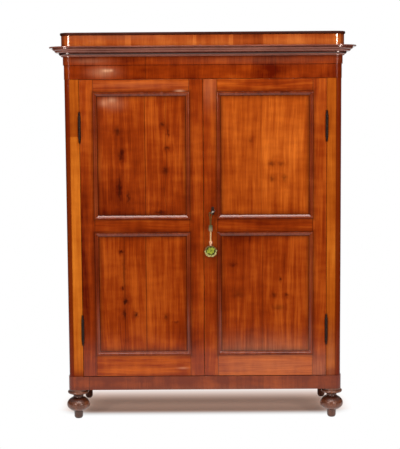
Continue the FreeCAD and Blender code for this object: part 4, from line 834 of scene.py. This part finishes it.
sleeve = piece("tassel_sleeve", *wound_sleeve(), SLEEVE_YARN, "cream_cord", "tassel_knots")
knot_shape = tube(list(knot_line()), KNOT_RADIUS, KNOT_SIDES)
knot = piece("tassel_knot", *knot_shape, PEACH_YARN, "cream_cord", "tassel_knots")


# Rosette: rings of petals as (count, start, end, half width, lift, offset), from the front axis back

HEART_RINGS = ((5, 0.05, 0.46, 0.28, 0.20, 0.0), (7, 0.20, 0.72, 0.30, 0.17, 0.3))
LEAF_RINGS = ((9, 0.50, 1.10, 0.26, 0.06, 0.1),)
OUTER_RINGS = ((6, 1.02, 1.46, 0.40, 0.17, 0.35), (10, 1.15, 1.66, 0.30, 0.18, 0.0),
               (12, 1.45, 2.05, 0.32, 0.18, 0.5), (10, 1.95, 2.55, 0.34, 0.17, 0.2),
               (7, 2.40, 3.00, 0.36, 0.15, 0.6))
CROWN_ABOVE = 0.45
TURN_SCATTER = (0.22, 4.0, 7.0)
REACH_SCATTER = (0.10, 5.0, 3.0)
SIZE_SCATTER = (0.20, 3.0, 5.0)
TILT_DEGREES = -15.0
LEVEL, TILT = Matrix.Identity(3), Matrix.Rotation(math.radians(TILT_DEGREES), 3, "X")
PETAL_ROWS, PETAL_COLUMNS, PETAL_THICKNESS = 8, 7, 0.0011
PETAL_SEAT, PETAL_CUP, PETAL_ROUNDNESS = 0.80, 0.07, 0.7
WIDTH_START, WIDTH_SPAN, WIDTH_END = 0.18, 0.80, 0.92
NARROWEST = 0.35
RUFFLE, RUFFLE_ACROSS, RUFFLE_ROUND = 0.03, 7, 5
CORE_ROWS, CORE_COLUMNS = 16, 28
CORE_OUT, CORE_RIPPLE, CORE_WAVES, CORE_WAVES_BACK = 0.82, 0.02, 9, 4


def ball_point(reach, spread, out, tilt):
    """A point of the ball: reach from its front axis, spread round it, out is its share of the ball."""
    way = Vector((math.sin(reach) * math.cos(spread), -math.cos(reach), math.sin(reach) * math.sin(spread)))
    way.rotate(tilt)
    return BALL + Vector(part * half for part, half in zip(way * out, BALL_HALF))


def petal(turn, start, end, half_width, lift):
    """A cupped petal: turn is its place round the front axis, start and end its reach from it."""
    verts, faces = [], []
    for row in range(PETAL_ROWS + 1):
        share = row / PETAL_ROWS
        reach = start + (end - start) * share
        swell = math.sin(math.pi * min(WIDTH_END, WIDTH_START + WIDTH_SPAN * share))
        wide = half_width * swell ** PETAL_ROUNDNESS
        for column in range(PETAL_COLUMNS + 1):
            across = 2 * column / PETAL_COLUMNS - 1
            spread = turn + across * wide / max(NARROWEST, math.sin(reach))
            wave = RUFFLE * share * math.sin(RUFFLE_ACROSS * across + RUFFLE_ROUND * turn)
            out = PETAL_SEAT + lift * share - PETAL_CUP * across * across + wave
            verts.append(ball_point(reach, spread, out, TILT))
    along = PETAL_COLUMNS + 1
    for row in range(PETAL_ROWS):
        for column in range(PETAL_COLUMNS):
            first = row * along + column
            faces.append((first, first + 1, first + along + 1, first + along))
    return verts, faces


def scatter(amounts, number, ring):
    """A small change for one petal of a ring, the same at each run."""
    amount, per_petal, per_ring = amounts
    return amount * math.sin(per_petal * number + per_ring * ring)


def petals_of(rings):
    """The petals of some rings, each with its place round the front axis."""
    for count, start, end, half_width, lift, offset in rings:
        for number in range(count):
            turn = 2 * math.pi * (number + offset + scatter(TURN_SCATTER, number, start)) / count
            sway = scatter(REACH_SCATTER, number, start)
            size = 1.0 + scatter(SIZE_SCATTER, number, end)
            yield turn, petal(turn, start + sway, end + sway, half_width * size, lift)


def ball_core():
    """The dark body that the petals are sewn to; its dark colour also stands in for the shade between the
    petals.
    """
    verts = []
    for row in range(1, CORE_ROWS):
        reach = math.pi * row / CORE_ROWS
        for column in range(CORE_COLUMNS):
            spread = 2 * math.pi * column / CORE_COLUMNS
            out = CORE_OUT + CORE_RIPPLE * math.sin(CORE_WAVES * spread + CORE_WAVES_BACK * reach)
            verts.append(ball_point(reach, spread, out, LEVEL))
    return verts, ring_faces(CORE_ROWS - 1, CORE_COLUMNS)


heart = [shape for turn, shape in petals_of(HEART_RINGS)]
leaves = [shape for turn, shape in petals_of(LEAF_RINGS)]
outer = list(petals_of(OUTER_RINGS))
petals = [shape for turn, shape in outer if math.sin(turn) <= CROWN_ABOVE]
crown = [shape for turn, shape in outer if math.sin(turn) > CROWN_ABOVE]
# The core and the ring of leaves are dark partly as painted shade between the petals.
rosette = [piece("rosette_core", *ball_core(), MOSS_AND_SHADE_YARN, "green_pompon", "tassel_ball")]
for name, shapes, material in (("rosette_heart", heart, LIME_YARN), ("rosette_leaves", leaves, MOSS_AND_SHADE_YARN),
                               ("rosette_petals", petals, PETAL_YARN), ("rosette_crown", crown, BARK_YARN)):
    made = piece(name, *joined(shapes), material, "green_pompon", "tassel_ball")
    solid = made.modifiers.new("thickness", "SOLIDIFY")
    solid.thickness = PETAL_THICKNESS
    solid.offset = -1.0
    smooth = made.modifiers.new("smooth", "SUBSURF")
    smooth.levels = smooth.render_levels = 1
    rosette.append(made)

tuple(loop_line[0])
path_length(loop_line)
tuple(drop_line[0])
path_length(drop_line)


# Floor

WHITE = (1.0, 1.0, 1.0, 1.0)
FLOOR_X, FLOOR_FRONT, FLOOR_BACK = 2.7, -1.9, 9.0
UNDER_HALF_WIDTH, UNDER_FRONT, UNDER_BACK = 0.57, -0.035, 0.14
FRONT_FADE, BACK_FADE, SIDE_FADE = 2.2, 0.85, 1.5
# Colours of the painted shadow beneath the cupboard, from its front to its back, and where they change.
SHADOW_NEAR, SHADOW_FAR = (0.54, 0.335, 0.25, 1.0), (0.64, 0.40, 0.29, 1.0)
SHADOW_NEAR_Y, SHADOW_FAR_Y = -0.10, 0.16
FLOOR_COLOUR, FLOOR_FROM = (0.94, 0.90, 0.87, 1.0), 0.40
# The brownish tint of the glow beneath and near the cupboard, which lifts the painted shadow.
SHADOW_GLOW, GLOW_START, GLOW_END = (1.0, 0.73, 0.62, 1.0), 0.05, 0.30
LIFT_UNDER, LIFT_END = 0.10, 0.28
FLOOR_ROUGHNESS, FLOOR_GLOSS = 0.9, 0.1


def floor_material():
    """A pale floor that keeps the shadow near the cupboard and goes to white further away.
    Beneath the cupboard its colour is a painted brownish shadow, and the glow seen there is tinted to
    match.
    """
    material, tree, shader = new_material("floor")
    x, y = place_xyz(tree)[1:3]
    shader.inputs["Roughness"].default_value = FLOOR_ROUGHNESS
    shader.inputs["Specular IOR Level"].default_value = FLOOR_GLOSS

    def past(distance, fade):
        return tree.math("MULTIPLY", tree.math("MAXIMUM", distance, 0.0), fade)

    beside = past(tree.math("SUBTRACT", tree.math("ABSOLUTE", x), UNDER_HALF_WIDTH), SIDE_FADE)
    ahead = past(tree.math("SUBTRACT", UNDER_FRONT, y), FRONT_FADE)
    back = past(tree.math("SUBTRACT", y, UNDER_BACK), BACK_FADE)
    aside = tree.vector(beside, tree.math("ADD", ahead, back), 0.0)
    away = tree.node("ShaderNodeVectorMath", {0: aside}, "Value", operation="LENGTH")
    # painted shadow: a brownish dark colour beneath the cupboard, darker towards the front, going to the
    # floor's colour further away
    painted_shadow = tree.mix(tree.span(y, SHADOW_NEAR_Y, SHADOW_FAR_Y), SHADOW_NEAR, SHADOW_FAR)
    floor_and_shadow = tree.mix(tree.span(away, 0.0, FLOOR_FROM), painted_shadow, FLOOR_COLOUR)
    tree.link(floor_and_shadow, shader.inputs["Base Color"])
    light = tree.tree.nodes.new("ShaderNodeLightPath").outputs
    seen = tree.math("MAXIMUM", light["Is Camera Ray"],
                     tree.math("MAXIMUM", light["Is Glossy Ray"], light["Is Transmission Ray"]))
    pale = tree.mix(tree.span(tree.total(away, ahead), GLOW_START, GLOW_END), SHADOW_GLOW, WHITE)
    glow = tree.node("ShaderNodeEmission", {"Color": pale, "Strength": 1.0})
    lift = tree.math("MULTIPLY", seen, tree.span(away, 0.0, LIFT_END, LIFT_UNDER, 1.0))
    shown = tree.node("ShaderNodeMixShader", {0: lift, 1: shader.outputs[0], 2: glow})
    tree.link(shown, tree.tree.nodes["Material Output"].inputs[0])
    return material


floor_mesh = bpy.data.meshes.new("floor")
floor_mesh.from_pydata([(-FLOOR_X, FLOOR_FRONT, 0), (FLOOR_X, FLOOR_FRONT, 0), (FLOOR_X, FLOOR_BACK, 0),
                        (-FLOOR_X, FLOOR_BACK, 0)], [], [(0, 1, 2, 3)])
floor_mesh.materials.append(floor_material())
floor = bpy.data.objects.new("floor", floor_mesh)
scene.collection.objects.link(floor)


# Light: a dim even room, which reflections see only behind and above the cupboard, and four lamps

AMBIENT = 0.24
BEHIND_START, BEHIND_END = 0.80, 0.98
ABOVE = (0.25, 0.95, 0.02, 0.60)

world = bpy.data.worlds.new("studio")
scene.world = world
world.use_nodes = True
sky = Tree(world.node_tree)
room = world.node_tree.nodes["Background"]
way_y, way_z = sky.parts(sky.node("ShaderNodeTexCoord", output="Generated"))[1:]
rays = world.node_tree.nodes.new("ShaderNodeLightPath").outputs
mirrored = sky.math("MAXIMUM", rays["Is Glossy Ray"], rays["Is Transmission Ray"])
in_mirror = sky.math("MAXIMUM", sky.span(way_y, BEHIND_START, BEHIND_END), sky.span(way_z, *ABOVE))
dim = sky.math("MULTIPLY_ADD", mirrored, -AMBIENT, AMBIENT)
strength = sky.math("MULTIPLY_ADD", mirrored, in_mirror, dim)
room.inputs["Color"].default_value = WHITE
sky.link(sky.math("MAXIMUM", strength, rays["Is Camera Ray"]), room.inputs["Strength"])


def softbox(name, place, target, width, height, watts):
    """A soft studio lamp that faces a point."""
    lamp = bpy.data.lights.new(name, "AREA")
    lamp.shape = "RECTANGLE"
    lamp.size, lamp.size_y = width, height
    lamp.energy = watts
    made = bpy.data.objects.new(name, lamp)
    scene.collection.objects.link(made)
    made.location = place
    made.rotation_euler = (Vector(target) - Vector(place)).to_track_quat("-Z", "Y").to_euler()


softbox("top_lamp", (0.0, -2.1, 3.5), (0.0, -0.1, 0.9), width=2.4, height=0.6, watts=45.0)
softbox("left_lamp", (-2.8, -5.0, 2.40), (0.0, 0.0, 1.0), width=0.9, height=0.6, watts=78.0)
softbox("right_lamp", (2.8, -5.0, 2.40), (0.0, 0.0, 1.0), width=0.9, height=0.6, watts=78.0)
softbox("back_lamp", (0.0, 5.0, 2.6), (0.0, 0.2, 0.8), width=2.0, height=0.8, watts=60.0)


# Camera

EYE = Vector((0.0095, -5.8638, 1.5353))
PITCH, YAW, ROLL = math.radians(-5.7036), math.radians(-0.2822), math.radians(-0.4070)
FOCAL_PIXELS, LONG_SIDE_PIXELS, SENSOR = 1161.34, 449.0, 36.0
forward = Vector((math.sin(YAW) * math.cos(PITCH), math.cos(YAW) * math.cos(PITCH), math.sin(PITCH)))
level_right = Vector((math.cos(YAW), -math.sin(YAW), 0.0))
level_up = level_right.cross(forward)
right = level_right * math.cos(ROLL) + level_up * math.sin(ROLL)
up = level_up * math.cos(ROLL) - level_right * math.sin(ROLL)
camera_data = bpy.data.cameras.new("camera")
camera_data.sensor_width = SENSOR
camera_data.lens = SENSOR * FOCAL_PIXELS / LONG_SIDE_PIXELS
camera = bpy.data.objects.new("camera", camera_data)
scene.collection.objects.link(camera)
camera.matrix_world = Matrix((right, up, -forward)).transposed().to_4x4()
camera.location = EYE
scene.camera = camera
scene.view_settings.view_transform = "Standard"
